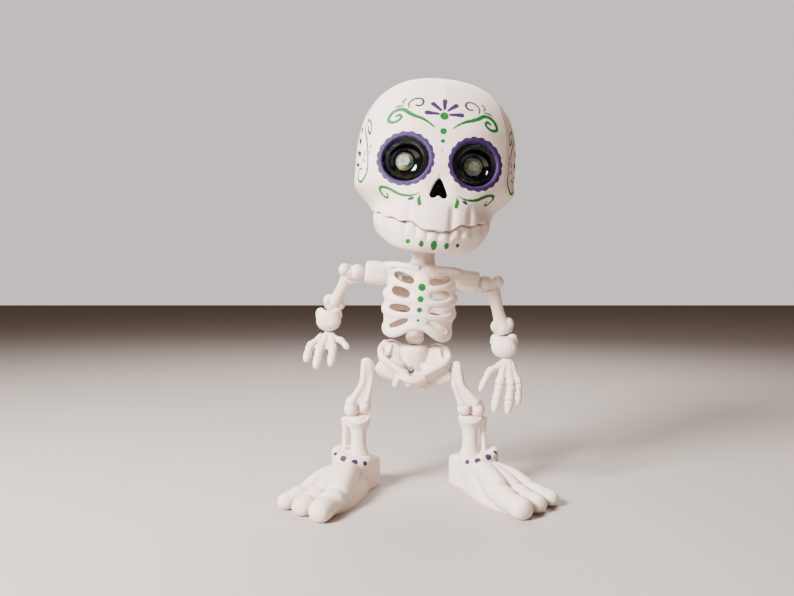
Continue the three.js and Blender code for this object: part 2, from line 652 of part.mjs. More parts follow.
function foot(ankle) {
  const heel = stack([[-0.6, -0.6, 5.4, 5.8, 6.2], [9.6, -0.6, 5.4, 5.8, 6],
    [10.8, -0.6, 5, 5, 5]], 8, 3.4);
  const collar = stack([[7, 0.4, 0, 7.3, 6.1], [12.2, 0.4, 0, 7.6, 6.1], [13.6, 0.6, 0.3, 7, 5.2]], 10, 2.2);
  const tilt = collar.attributes.position;
  for (let i = 0; i < tilt.count; i += 1) {
    const z = tilt.getZ(i);
    tilt.setZ(i, z + (z > 9 ? tilt.getX(i) * 0.22 + tilt.getY(i) * 0.08 : 0));
  }
  const ground = box([-60, -60, -10], [60, 60, 0]);
  const whole = joined(footBody(), heel, collar, ...TOE_TIPS.map(toe));
  return cut(cut(whole, ground), ...ankle);
}

// Room in the ankle collar for the lower ends of the shin and calf bones.
function ankleTools() {
  const grow = SOCKET_GAP;
  return [
    stack([[-grow, 0, 0, 4 + grow, 3.3 + grow], [9, 0, 0, 4 + grow, 3.3 + grow]], 8),
    stack([[-grow - 0.2, 5.2, 0.5, 1.3 + grow, 1.3 + grow], [9, 5.2, 0.5, 1.3 + grow, 1.3 + grow]], 6),
  ];
}

// Assembly

const figurine = new THREE.Group();
figurine.position.set(-FOOTPRINT_MIDDLE[0], -FOOTPRINT_MIDDLE[1], 0);

const head = frame(figurine, HEAD_AT, [0, HEAD_ROLL, HEAD_YAW]);
head.add(piece('skull', skull()));
head.add(piece('lower_jaw', lowerJaw()));
head.add(piece('eye_stone_right', eyeStone(-1), CRYSTAL));
head.add(piece('eye_stone_left', eyeStone(1), CRYSTAL));

const torso = frame(figurine, CHEST_AT, [0, CHEST_ROLL, 0]);
torso.add(piece('ribcage', chest()));

const hips = frame(figurine, PELVIS_AT, [0, PELVIS_ROLL, 0]);
const ballTool = ellipsoid(SPINE_BALL.at, Array(3).fill(SPINE_BALL.radius + SOCKET_GAP + 0.1), [0, 0, 0], 9, 6);
hips.add(piece('pelvis', pelvis(carried(ballTool, torso, hips, 1, false))));

for (const { name, side, arm, forearm: fore, hand: grip, thigh: leg, shin: calf, foot: sole } of SIDES) {
  const armFrame = frame(figurine, arm.at, [arm.swing, -side * arm.lift, 0]);
  armFrame.add(piece(`upper_arm_${name}`, upperArm(), PAINT, side));

  const foreFrame = frame(figurine, fore.at, [fore.pitch, 0, -side * fore.turn]);
  foreFrame.add(piece(`forearm_${name}`, forearm(carried(elbowTool(), armFrame, foreFrame, side)), PAINT, side));

  const handFrame = frame(figurine, grip.at, [grip.pitch, -side * grip.roll, 0]);
  handFrame.add(piece(`hand_${name}`, hand(grip), PAINT, side));

  const thighFrame = frame(figurine, leg.at, [0, -side * leg.lift, 0]);
  const hipTool = carried(hipStub(side, SOCKET_GAP), hips, thighFrame, side, false);
  thighFrame.add(piece(`thigh_${name}`, thigh(hipTool), PAINT, side));

  const shinFrame = frame(figurine, calf.at);
  const knee = kneeTools().map((tool) => carried(tool, thighFrame, shinFrame, side));
  shinFrame.add(piece(`shin_${name}`, shin(knee), PAINT, side));

  const footFrame = frame(figurine, sole.at, [0, 0, side * sole.toeOut]);
  const ankle = ankleTools().map((tool) => carried(tool, shinFrame, footFrame, side));
  footFrame.add(piece(`foot_${name}`, foot(ankle), PAINT, side));
}

export default figurine;
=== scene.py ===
import math
import bpy
import numpy as np
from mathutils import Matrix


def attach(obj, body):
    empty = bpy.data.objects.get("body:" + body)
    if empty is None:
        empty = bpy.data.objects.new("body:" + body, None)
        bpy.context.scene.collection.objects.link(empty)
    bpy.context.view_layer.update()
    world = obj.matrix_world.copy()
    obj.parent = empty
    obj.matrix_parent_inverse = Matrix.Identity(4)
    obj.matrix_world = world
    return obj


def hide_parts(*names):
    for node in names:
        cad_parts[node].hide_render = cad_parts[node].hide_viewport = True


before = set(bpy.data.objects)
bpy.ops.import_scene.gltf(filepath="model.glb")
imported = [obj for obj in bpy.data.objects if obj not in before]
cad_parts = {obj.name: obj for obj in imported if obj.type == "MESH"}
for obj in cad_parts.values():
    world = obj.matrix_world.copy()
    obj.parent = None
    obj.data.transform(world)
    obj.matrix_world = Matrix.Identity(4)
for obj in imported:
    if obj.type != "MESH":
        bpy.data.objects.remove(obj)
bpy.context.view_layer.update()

# Camera and studio. The camera stands level, a little over 23 cm in front of the figure at the
# height of its chest, as the photograph was taken. A large soft light stands high on the left.
EYE_PLACE = (-0.00735, -0.23191, 0.0724)
FOCAL_LENGTH = 29.47
VIEW_SHIFT = -0.0093

camera_data = bpy.data.cameras.new("camera")
camera_data.lens = FOCAL_LENGTH
camera_data.sensor_width = 36
camera_data.shift_y = VIEW_SHIFT
camera_data.clip_start = 0.01
camera = bpy.data.objects.new("camera", camera_data)
camera.location = EYE_PLACE
camera.rotation_euler = (math.radians(90), 0, 0)
bpy.context.scene.collection.objects.link(camera)
bpy.context.scene.camera = camera


def soft_light(name, place, aim, size, power, colour):
    """A square area light at a place, turned to face the aim."""
    data = bpy.data.lights.new(name, "AREA")
    data.size = size
    data.energy = power
    data.color = colour
    light = bpy.data.objects.new(name, data)
    light.location = place
    away = np.array(place) - np.array(aim)
    level = math.hypot(away[0], away[1])
    light.rotation_euler = (math.atan2(level, away[2]), 0, math.atan2(away[1], away[0]) + math.pi / 2)
    bpy.context.scene.collection.objects.link(light)


soft_light("key", (-0.36, -0.30, 0.34), (0, 0, 0.09), 0.16, 15.0, (1.0, 0.955, 0.92))
soft_light("fill", (0.40, -0.40, 0.12), (0, 0, 0.08), 0.40, 0.45, (1.0, 0.86, 0.78))
soft_light("top", (0.06, 0.30, 0.44), (0, 0, 0.09), 0.30, 3.0, (1.0, 0.94, 0.90))

world = bpy.data.worlds.new("studio")
world.use_nodes = True
backdrop = world.node_tree.nodes["Background"]
backdrop.inputs["Color"].default_value = (0.86, 0.80, 0.76, 1)
room = world.node_tree.nodes.new("ShaderNodeBackground")
room.inputs["Color"].default_value = (0.60, 0.42, 0.34, 1)
room.inputs["Strength"].default_value = 0.24
rays = world.node_tree.nodes.new("ShaderNodeLightPath")
choice = world.node_tree.nodes.new("ShaderNodeMixShader")
world.node_tree.links.new(rays.outputs["Is Camera Ray"], choice.inputs[0])
world.node_tree.links.new(room.outputs[0], choice.inputs[1])
world.node_tree.links.new(backdrop.outputs[0], choice.inputs[2])
world.node_tree.links.new(choice.outputs[0], world.node_tree.nodes["World Output"].inputs["Surface"])
bpy.context.scene.world = world


class Value:
    """A shader socket that can be added, multiplied and compared like a number."""

    def __init__(self, tree, socket):
        self.tree = tree
        self.socket = socket

    def node(self, kind, settings=None, inputs=None, output=0):
        """Add a node of a kind, make its settings, then fill or link its sockets."""
        new = self.tree.nodes.new(kind)
        for key, value in (settings or {}).items():
            if key == "stops":
                while len(new.color_ramp.elements) < len(value):
                    new.color_ramp.elements.new(1)
                for stop, (place, colour) in zip(new.color_ramp.elements, value):
                    stop.position = place
                    stop.color = (*colour, 1)
            else:
                setattr(new, key, value)
        for key, value in (inputs or {}).items():
            if isinstance(value, Value):
                self.tree.links.new(value.socket, new.inputs[key])
            else:
                new.inputs[key].default_value = value
        return Value(self.tree, new.outputs[output])

    def math(self, operation, first, second=0.0):
        return self.node("ShaderNodeMath", {"operation": operation}, {0: first, 1: second})

    def __add__(self, other):
        return self.math("ADD", self, other)

    def __radd__(self, other):
        return self.math("ADD", other, self)

    def __sub__(self, other):
        return self.math("SUBTRACT", self, other)

    def __rsub__(self, other):
        return self.math("SUBTRACT", other, self)

    def __mul__(self, other):
        return self.math("MULTIPLY", self, other)

    def __rmul__(self, other):
        return self.math("MULTIPLY", other, self)

    def sine(self):
        return self.math("SINE", self)

    def ramp(self, low, high):
        """0 up to low, 1 from high on, with a smooth rise between."""
        return self.node("ShaderNodeMapRange", {"interpolation_type": "SMOOTHSTEP"},
                         {"Value": self, "From Min": low, "From Max": high})

    def mix(self, colour, share):
        """This colour going over to another one by a share."""
        return self.node("ShaderNodeMix", {"data_type": "RGBA"}, {0: share, 6: self, 7: colour}, 2)


def finish(name, **constants):
    """A new material, the values of its shader that never change, and its first socket."""
    material = bpy.data.materials.new(name)
    material.use_nodes = True
    tree = material.node_tree
    shader = tree.nodes["Principled BSDF"]
    for key, value in constants.items():
        shader.inputs[key.replace("_", " ")].default_value = value
    place = tree.nodes.new("ShaderNodeTexCoord")
    return material, tree, shader, Value(tree, place.outputs["Object"])


# Floor. A plain pale table top under the figure.
FLOOR_HALF = 3.0

floor_mesh = bpy.data.meshes.new("floor")
floor_mesh.from_pydata([(-FLOOR_HALF, -FLOOR_HALF, 0), (FLOOR_HALF, -FLOOR_HALF, 0),
                        (FLOOR_HALF, FLOOR_HALF, 0), (-FLOOR_HALF, FLOOR_HALF, 0)], [], [(0, 1, 2, 3)])
floor = bpy.data.objects.new("floor", floor_mesh)
bpy.context.scene.collection.objects.link(floor)
floor_look, floor_tree, floor_shader, floor_place = finish("pale_table", Roughness=0.7)
floor_shader.inputs["Base Color"].default_value = (0.42, 0.375, 0.345, 1)
floor_mesh.materials.append(floor_look)


# Skull. One printed shell from the crown down to the upper teeth, painted off-white, with an
# eye socket either side of a nose hole. The ornament is brushed on in green and purple, and
# the sockets and the nose hole are filled with glossy black.
MM = 0.001
FOOTPRINT_MIDDLE = np.array([0.75, -7.09, 0.0])
HEAD_AT = (6.9, -5.0, 116.0)
HEAD_TURN = (0.0, 4.4, 2.0)
CROWN_HEIGHT = 31.8
HEAD_HALF_WIDTH = 28.3
FACE_FORWARD = 25.6
HEAD_BACK = 29.0
BASE_DROP = 16.5
PLAN_POWER = 0.86
MOUTH_DROP = 24.35
EYE_SPREAD = 11.5
EYE_DROP = 1.7
SOCKET_HALF_WIDTH = 7.5
SOCKET_HALF_HEIGHT = 7.0
SOCKET_DEPTH = 7.2
STONE_RADIUS = 3.1
STONE_RISE = 0.4
STONE_BACK = -16.1
NOSE_TOP = 7.2
NOSE_HEIGHT = 6.7
NOSE_HALF = 3.3
TEMPLE_EDGE = 47
FACE_MIDDLE = 0.0


def step(x, low, high):
    """Smoothstep: 0 below low, 1 above high, 3t^2 - 2t^3 between."""
    t = np.clip((x - low) / (high - low), 0, 1)
    return t * t * (3 - 2 * t)


def hump(x, middle, spread):
    """A bell: e to the minus ((x - middle) / spread) squared."""
    return np.exp(-((x - middle) / spread) ** 2)


def sharp(x, middle, spread):
    """A ridge with a crease on top: e to the minus |x - middle| / spread."""
    return np.exp(-np.abs(x - middle) / spread)


def placed(points, at, turns):
    """Millimetres in a bone's own frame to metres in the figure's: turned about Z, Y, X, moved."""
    rx, ry, rz = np.radians(turns)
    about_z = np.array([[math.cos(rz), -math.sin(rz), 0], [math.sin(rz), math.cos(rz), 0], [0, 0, 1]])
    about_y = np.array([[math.cos(ry), 0, math.sin(ry)], [0, 1, 0], [-math.sin(ry), 0, math.cos(ry)]])
    about_x = np.array([[1, 0, 0], [0, math.cos(rx), -math.sin(rx)], [0, math.sin(rx), math.cos(rx)]])
    turned = points @ (about_x @ about_y @ about_z).T
    return (turned + np.array(at) - FOOTPRINT_MIDDLE) * MM


def grid_faces(rows, columns, wrap):
    """Quads between neighbouring rows of a grid of points, joined round when it wraps."""
    across = np.arange(columns if wrap else columns - 1)
    here = np.arange(rows - 1)[:, None] * columns + across[None, :]
    beside = np.arange(rows - 1)[:, None] * columns + (across[None, :] + 1) % columns
    return np.stack([here, beside, beside + columns, here + columns], -1).reshape(-1, 4)


def fan(ring, hub, outwards):
    """Triangles from each edge of a ring of point numbers to a hub."""
    after = np.roll(ring, -1)
    pair = (ring, after) if outwards else (after, ring)
    return np.stack([*pair, np.full(len(ring), hub)], -1)


def new_piece(name, points, faces, material, nodes, smooth=True):
    """A mesh of points in metres that rides on the figure and stands for CAD nodes."""
    mesh = bpy.data.meshes.new(name)
    mesh.from_pydata(points.tolist(), [], [row.tolist() for group in faces for row in group])
    mesh.materials.append(material)
    mesh.polygons.foreach_set("use_smooth", [smooth] * len(mesh.polygons))
    new = bpy.data.objects.new(name, mesh)
    bpy.context.scene.collection.objects.link(new)
    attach(new, "root")
    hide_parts(*nodes)
    return new


def note(piece, name, values):
    """Keep one number for each point of a mesh under a name that its material reads."""
    layer = piece.data.attributes.new(name, "FLOAT", "POINT")
    layer.data.foreach_set("value", np.asarray(values, dtype=np.float32).ravel())


def bite_line(angle):
    """Height where the teeth meet: a low middle block, then a step up and a rise to the corners."""
    aside = np.abs(angle)
    rise = 2.2 * step(aside, 8, 19) + 5.2 * np.abs(np.sin(np.radians(angle))) ** 3
    waves = 0.3 * np.cos(np.radians(aside * 18)) * step(aside, 14, 24) * step(90 - aside, 2, 12)
    return rise - MOUTH_DROP + waves


def plan(angle, half_width, forward):
    """A rounded plan outline: sine and cosine, each raised to a power, times the half sizes."""
    across = np.sin(np.radians(angle))
    ahead = np.cos(np.radians(angle))
    return (np.sign(across) * np.abs(across) ** PLAN_POWER * half_width,
            -np.sign(ahead) * np.abs(ahead) ** PLAN_POWER * forward)


UPPER_GROOVES = [(-16.2, 1.1, 0.5), (-9.2, 1.0, 0.45), (4.9, 1.3, 0.75), (10.9, 1.0, 0.8), (15.8, 1.0, 0.5)]


def head_point(angle, z):
    """Dome by a power curve of height, its plan rounded, plus creases, cheeks and teeth."""
    aside = np.abs(angle)
    below = np.maximum(0, -z)
    up = np.clip(z, 0, CROWN_HEIGHT) / CROWN_HEIGHT
    left_over = np.maximum(0, 1 - up ** 2.6)
    in_front = aside <= 90
    x_plain, _ = plan(angle, HEAD_HALF_WIDTH * (1 - 0.25 * step(below, 7, 17.5)), 1)
    relief = (1.2 * hump(aside, 66, 13) * hump(z, -9.5, 3)
              - 1.6 * hump(aside, 50, 12) * hump(z, -14.5, 3.4)
              + 0.55 * sharp(aside, TEMPLE_EDGE, 7) * step(z, -12, -2) * step(CROWN_HEIGHT - z, 3, 12)
              - 0.5 * hump(aside, 60, 8) * hump(z, 6, 12)
              + 0.35 * sharp(x_plain, FACE_MIDDLE, 2.5) * step(z, 14, 19) * step(CROWN_HEIGHT - z, 1, 8)
              + 0.5 * hump(np.abs(x_plain), 11, 8) * hump(z, 9.2, 2.2)
              + 0.5 * hump(x_plain, 0, 5.2) * hump(z, -21, 4.5)
              + 0.5 * hump(np.abs(x_plain), 5.0, 2.4) * hump(z, -9, 3.5))
    for middle, spread, depth in UPPER_GROOVES:
        relief = relief - depth * hump(x_plain, middle, spread) * step(below, 14.5, 18.5)
    relief = relief * np.where(in_front, 1, 0)
    width = HEAD_HALF_WIDTH * left_over ** (1 / 2.2) * (1 - 0.25 * step(below, 7, 17.5))
    front = (FACE_FORWARD * left_over ** (1 / 1.7) - 1.2 * hump(z, -8.5, 5) + 0.9 * step(below, 10, 22))
    back = HEAD_BACK * left_over ** (1 / 1.8) * (1 - 0.48 * np.clip(below / BASE_DROP, 0, 1) ** 2.6)
    x, y = plan(angle, width + relief, np.where(in_front, front + relief, back))
    return np.stack([x, y, z + 0 * x], -1)


def nose_reach(x, z):
    """Below 0 inside the nose hole: a rounded triangle with a low peak between its two lobes."""
    down = np.clip((-NOSE_TOP - z) / NOSE_HEIGHT, 0, 1.3)
    half = NOSE_HALF * down ** 0.62 * (1 - 0.35 * step(down, 0.8, 1.08))
    low_peak = 0.9 * hump(x, 0, 0.9)
    return np.maximum(np.abs(x) - half, (-NOSE_TOP - NOSE_HEIGHT + low_peak) - z)


def socket_reach(points):
    """Share of the way from the middle of the nearer eye socket to its edge, with its side."""
    x, z = points[..., 0], points[..., 2]
    across = (np.abs(x) - EYE_SPREAD) / SOCKET_HALF_WIDTH
    up = (z + EYE_DROP) / SOCKET_HALF_HEIGHT
    return np.where(points[..., 1] < -6, np.hypot(across, up), 9.0)


def curve_through(points, density=8):
    """A smooth path through a few points, by Catmull-Rom cubics on whole arrays."""
    p = np.array(points, dtype=float)
    p = np.vstack([2 * p[0] - p[1], p, 2 * p[-1] - p[-2]])
    t = np.linspace(0, 1, density, endpoint=False)[None, :, None]
    a, b, c, d = (p[i:len(p) - 3 + i, None, :] for i in range(4))
    path = 0.5 * (2 * b + (c - a) * t + (2 * a - 5 * b + 4 * c - d) * t ** 2
                  + (3 * b - a - 3 * c + d) * t ** 3)
    return np.vstack([path.reshape(-1, p.shape[1]), p[-2]])


def stroke_distance(points, path, widths):
    """Distance from each point to a path, less the brush's half width there: below 0 is paint."""
    best = np.full(len(points), 9.0)
    shares = np.linspace(0, 1, len(path))
    half = np.interp(shares, np.linspace(0, 1, len(widths)), widths)
    for start, end, h0, h1 in zip(path[:-1], path[1:], half[:-1], half[1:]):
        along = end - start
        t = np.clip(((points - start) @ along) / max(along @ along, 1e-9), 0, 1)
        gap = np.linalg.norm(points - start - t[:, None] * along, axis=1)
        best = np.minimum(best, gap - (h0 + (h1 - h0) * t))
    return best


# Strokes of the head, as [angle round the head, height] pairs for one side.
GREEN_PAIRS = [
    ([(4.5, 8.9), (8, 10.4), (12, 11.5), (16, 12.2), (21, 13.2), (25.5, 14.4), (30, 14.6), (34.5, 13.7),
      (37, 11.9), (36.5, 10.6), (33, 10.0), (29, 10.4), (26.8, 11.7), (28.5, 12.7), (31, 12.2)],
     [0.25, 0.6, 0.72, 0.7, 0.55, 0.55, 0.5]),
    ([(12, -12.6), (17, -13.4), (23, -13.6), (29, -13.1), (33, -12.1), (38, -11.0), (44, -10.9), (48.5, -12.3),
      (48.5, -13.7), (44, -13.8), (42, -12.9)], [0.2, 0.45, 0.5, 0.55, 0.5, 0.4]),
    ([(11.5, -13.3), (13, -14.7), (13, -16.1)], [0.2, 0.6, 0.7]),
    ([(66, 13.2), (57, 10.8), (55, 8.4), (55.5, 7.2), (60, 8.4), (62, 10)], [0.3, 0.42, 0.42]),
    ([(64, 12.3), (67, 10.3), (63, 7.2), (58, 3.2), (55, -1.1), (54, -4.4), (56, -7.2), (62, -8.8), (66.5, -6.7),
      (68, -4.5), (63.5, -4.0)], [0.25, 0.4, 0.45, 0.42, 0.35]),
    ([(74, 19.5), (71, 17.3), (70, 15)], [0.2, 0.4, 0.2]),
]
PURPLE_PAIRS = [
    ([(22.5, 15.3), (23.5, 16.8), (21.5, 18.2), (18, 18.9), (14, 18.6), (12.8, 17.2), (14.5, 16.1), (17.5, 16.2)],
     [0.25, 0.38, 0.4, 0.36]),
    ([(27, 18.6), (29, 17.6), (27, 16.6)], [0.4, 0.32, 0.2]),
    ([(34.5, 15.4), (31, 15.9), (27, 15.9)], [0.2, 0.4, 0.25]),
    ([(17, -14.3), (19.5, -14.5), (22, -14.9)], [0.25, 0.6, 0.25]),
    ([(78, 11.4), (73, 9.4)], [0.25, 0.85]),
    ([(77, 7.6), (71, 5.4)], [0.3, 0.9]),
    ([(76, 2.4), (69.5, 1.2)], [0.4, 0.9]),
    ([(77, -1.8), (71, -2.6)], [0.3, 0.8]),
    ([(52, 3.7), (53, 2.4)], [0.2, 0.36]),
    ([(52.5, 0.2), (53.4, 1.1)], [0.2, 0.36]),
    ([(61, 1.8), (61.6, 0.5)], [0.2, 0.4]),
    ([(60.5, -2.1), (62.6, -1.0)], [0.25, 0.4]),
]
FLOWER_PETALS = [[(0, 15.4), (0, 18.4)], [(1.6, 14.9), (6.2, 17.0)], [(2.6, 13.5), (9.4, 13.7)]]
FOREHEAD_DOTS = [(12.9, 1.45), (7.7, 1.1), (4.5, 0.72), (1.4, 0.34)]
RING_HALF_WIDTH = 9.35
RING_HALF_HEIGHT = 8.75
RING_LOBES = 20

FACE_COLUMNS = 301
NAPE_COLUMNS = 70
HEAD_ROWS = 236

face_angles = np.linspace(-90, 90, FACE_COLUMNS)
nape_angles = np.linspace(90, 270, NAPE_COLUMNS + 2)[1:-1]
nape_angles = np.where(nape_angles > 180, nape_angles - 360, nape_angles)
head_angles = np.concatenate([face_angles, nape_angles])
fine = np.linspace(0, 1, 2000)
rise = 1 - fine ** 2
reference = np.stack([27 * np.maximum(0, 1 - np.clip(rise * 54 - 22, 0, 99) ** 2.6 / CROWN_HEIGHT ** 2.6) ** 0.5,
                      rise * 54], -1)
run = np.concatenate([[0], np.cumsum(np.linalg.norm(np.diff(reference, axis=0), axis=1))])
head_shares = np.interp(np.linspace(run[-1], 0, HEAD_ROWS + 1)[:-1], run, rise)

bottoms = np.where(np.abs(head_angles) <= 90, bite_line(head_angles), -BASE_DROP)
heights = bottoms + (CROWN_HEIGHT - bottoms) * head_shares[:, None]
shell = head_point(np.broadcast_to(head_angles, heights.shape), heights)
reach = socket_reach(shell)
inside = np.clip(1 - np.minimum(reach, 1) ** 2.2, 0, 1) ** 0.55
lip = 0.4 * (1 - step(reach, 1.0, 1.1))
shell[..., 1] += np.where(reach < 1.1, SOCKET_DEPTH * inside + lip * (reach >= 1) + 0.4 * (reach < 1), 0)
shell[..., 0] -= np.sign(shell[..., 0]) * 1.2 * inside * np.where(reach < 1, 1, 0)
stone_gap = np.hypot(np.abs(shell[..., 0]) - EYE_SPREAD, shell[..., 2] + EYE_DROP - STONE_RISE)
in_seat = (stone_gap < STONE_RADIUS + 0.25) & (reach < 1)
shell[..., 1] = np.where(in_seat, STONE_BACK + 0.05, shell[..., 1])
at_nose = (shell[..., 1] < -15) & (shell[..., 2] > -15) & (shell[..., 2] < -6)
nose = np.where(at_nose, nose_reach(shell[..., 0], shell[..., 2]), 9.0)
shell[..., 1] += 4.5 * (1 - step(nose, -0.9, 0.12)) ** 0.7

rim = shell[0]
hub = np.array([0.0, 4.0, -BASE_DROP + 0.5])
under = [rim + (hub - rim) * share + np.array([0, 0, lift]) for share, lift in
         [(0.02, -0.12), (0.05, 0.0), (0.3, 0.3), (0.7, 0.3)]]
rows = np.concatenate([np.stack(under[::-1]), shell])
crown_row = len(rows) - 1
count = len(head_angles)
head_points = np.vstack([rows.reshape(-1, 3), hub, [0.0, 0.0, CROWN_HEIGHT]])
head_faces = [grid_faces(len(rows), count, True),
              fan(np.arange(count), len(head_points) - 2, False),
              fan(crown_row * count + np.arange(count), len(head_points) - 1, True)]


def mirrored(path):
    return np.array(path) * [-1, 1]


def on_head(path):
    """A drawn path of [angle, height] laid on the head, or on the jaw's front below the bite."""
    smooth = curve_through(path) if len(path) > 2 else np.array(path, dtype=float)
    return head_point(smooth[:, 0], smooth[:, 1])


flat = head_points
green = np.full(len(flat), 9.0)
purple = green.copy()
for path, widths in GREEN_PAIRS:
    for half in (np.array(path, dtype=float), mirrored(path)):
        green = np.minimum(green, stroke_distance(flat, on_head(half), widths))
for path, widths in PURPLE_PAIRS:
    for half in (np.array(path, dtype=float), mirrored(path)):
        purple = np.minimum(purple, stroke_distance(flat, on_head(half), widths))
for petal in FLOWER_PETALS:
    for half in (np.array(petal, dtype=float), mirrored(petal)):
        purple = np.minimum(purple, stroke_distance(flat, on_head(half), [0.45, 1.05, 0.85]))
for height, radius in FOREHEAD_DOTS:
    middle = head_point(np.array([0.0]), np.array([height]))
    green = np.minimum(green, np.linalg.norm(flat - middle, axis=1) - radius)

across = (np.abs(flat[:, 0]) - EYE_SPREAD) / RING_HALF_WIDTH
up = (flat[:, 2] + EYE_DROP) / RING_HALF_HEIGHT
around = np.arctan2(up, across)
scallop = 0.965 + 0.05 * np.abs(np.sin(around * RING_LOBES / 2))
ring = (np.hypot(across, up) / scallop - 1) * RING_HALF_HEIGHT
ring = np.where(flat[:, 1] < -5, ring, 9.0)
flat_reach = np.concatenate([np.full(4 * count, 9.0), reach.ravel(), [9.0, 9.0]])
flat_nose = np.concatenate([np.full(4 * count, 9.0), nose.ravel(), [9.0, 9.0]])
purple = np.minimum(purple, ring)
black = np.minimum((flat_reach - 0.985) * SOCKET_HALF_HEIGHT, flat_nose)

INK_GREEN = (0.0005, 0.098, 0.013, 1)
INK_PURPLE = (0.026, 0.012, 0.060, 1)
INK_DARK = (0.0018, 0.0016, 0.0018, 1)
BONE_WHITE = (0.83, 0.69, 0.61, 1)
# Brown of the painted shade laid into the hollows, where shade falls.
PAINTED_SHADE_BROWN = (0.42, 0.31, 0.235, 1)
LAYER_HEIGHT = 0.0003


def bone_paint(name, layers_along="Z", inks=(), layer_depth=0.00005):
    """Satin off-white paint over printed layers, with painted shade darkening the hollows, and any inks on top."""
    material, tree, shader, place = finish(name, Specular_IOR_Level=0.2)
    xyz = tree.nodes.new("ShaderNodeSeparateXYZ")
    tree.links.new(place.socket, xyz.inputs[0])
    height = Value(tree, xyz.outputs[layers_along])
    cloud = place.node("ShaderNodeTexNoise", inputs={"Vector": place, "Scale": 90.0, "Detail": 4.0})
    grain = place.node("ShaderNodeTexNoise", inputs={"Vector": place, "Scale": 1500.0, "Detail": 2.0})
    hollow = place.node("ShaderNodeAttribute", {"attribute_name": "hollow"}, output=2)
    # Painted shade: brown mixed in by how deep a point lies in a hollow, mottled by the cloud noise.
    painted_shade = (hollow + (cloud - 0.5) * 0.35).ramp(0.08, 0.95)
    white = place.node("ShaderNodeMix", {"data_type": "RGBA"},
                       {0: cloud, 6: BONE_WHITE, 7: tuple(0.93 * c for c in BONE_WHITE[:3]) + (1,)}, 2)
    colour = white.mix(PAINTED_SHADE_BROWN, painted_shade * 0.75)
    rough = 0.42 + cloud * 0.14
    gloss = None
    for ink in inks:
        reach_of = place.node("ShaderNodeAttribute", {"attribute_name": ink}, output=2)
        edge = reach_of + (grain - 0.5) * 0.22
        mask = 1 - edge.ramp(-0.06, 0.08)
        tone = {"green": INK_GREEN, "purple": INK_PURPLE, "black": INK_DARK}[ink]
        if ink != "black":
            pale = tuple(min(1, c * 1.7 + 0.012) for c in tone[:3]) + (1,)
            brushed = place.node("ShaderNodeMix", {"data_type": "RGBA"}, {0: grain.ramp(0.35, 0.8), 6: tone, 7: pale}, 2)
            colour = colour.mix(brushed, mask)
            rough = rough + mask * -0.06
        else:
            colour = colour.mix(tone, mask)
            rough = rough * (1 - mask) + mask * 0.09
            gloss = mask
    layers = (height * (2 * math.pi / LAYER_HEIGHT)).sine()
    relief = layers * layer_depth + cloud * 0.00022 + grain * 0.00004
    if gloss is not None:
        relief = relief * (1 - gloss * 0.93)
    bump = place.node("ShaderNodeBump", inputs={"Height": relief, "Strength": 0.55, "Distance": 1.0})
    tree.links.new(colour.socket, shader.inputs["Base Color"])
    tree.links.new(rough.socket, shader.inputs["Roughness"])
    tree.links.new(bump.socket, shader.inputs["Normal"])
    if gloss is not None:
        tree.links.new(gloss.socket, shader.inputs["Coat Weight"])
        shader.inputs["Coat Roughness"].default_value = 0.05
        shader.inputs["Coat IOR"].default_value = 1.32
    return material


def hollows(piece, rounds=10, gain=2.6):
    """How far each point lies in a hollow: its mean height below its neighbours, smoothed. The bone paint darkens by it
    as painted shade.
    """
    mesh = piece.data
    points = np.empty(len(mesh.vertices) * 3)
    mesh.vertices.foreach_get("co", points)
    normals = np.empty(len(mesh.vertices) * 3)
    mesh.vertices.foreach_get("normal", normals)
    edges = np.empty(len(mesh.edges) * 2, dtype=int)
    mesh.edges.foreach_get("vertices", edges)
    points, normals, edges = points.reshape(-1, 3) / MM, normals.reshape(-1, 3), edges.reshape(-1, 2)
    total = len(points)
    ends = np.concatenate([edges[:, 0], edges[:, 1]])
    others = np.concatenate([edges[:, 1], edges[:, 0]])
    degree = np.maximum(1, np.bincount(ends, minlength=total))
    blurred = points.copy()
    for _ in range(rounds):
        blurred = np.stack([np.bincount(ends, blurred[others, i], total) / degree for i in range(3)], -1)
    depth = np.einsum("ij,ij->i", blurred - points, normals)
    return np.clip(depth * gain, -1, 1)


skull_look = bone_paint("skull_paint", "Z", ("green", "purple", "black"))
skull = new_piece("skull_painted", placed(head_points, HEAD_AT, HEAD_TURN), head_faces, skull_look, ["skull"])
note(skull, "green", green)
note(skull, "purple", purple)
note(skull, "black", black)
note(skull, "hollow", hollows(skull, 16, 2.0))


# Lower jaw. A loose horseshoe of teeth and chin, hollow in the middle and open behind, printed
# like the skull and painted off-white, with five green dots along the chin.
MOUTH_HALF_WIDTH = 20.6
CHIN_DROP = 31.2
JOINT_GAP = 0.3
JAW_COLUMNS = 261
JAW_HOLLOW = (13.5, 17.0)
TOOTH_WIDTH = 3.7
TOOTH_START = -2.7
CHIN_DOTS = [(-8.6, -28.2, 0.75, 0.75), (-4.3, -28.8, 0.8, 1.05), (-0.2, -29.0, 1.05, 1.5),
             (3.9, -28.9, 0.8, 1.05), (7.6, -28.4, 0.65, 0.65)]


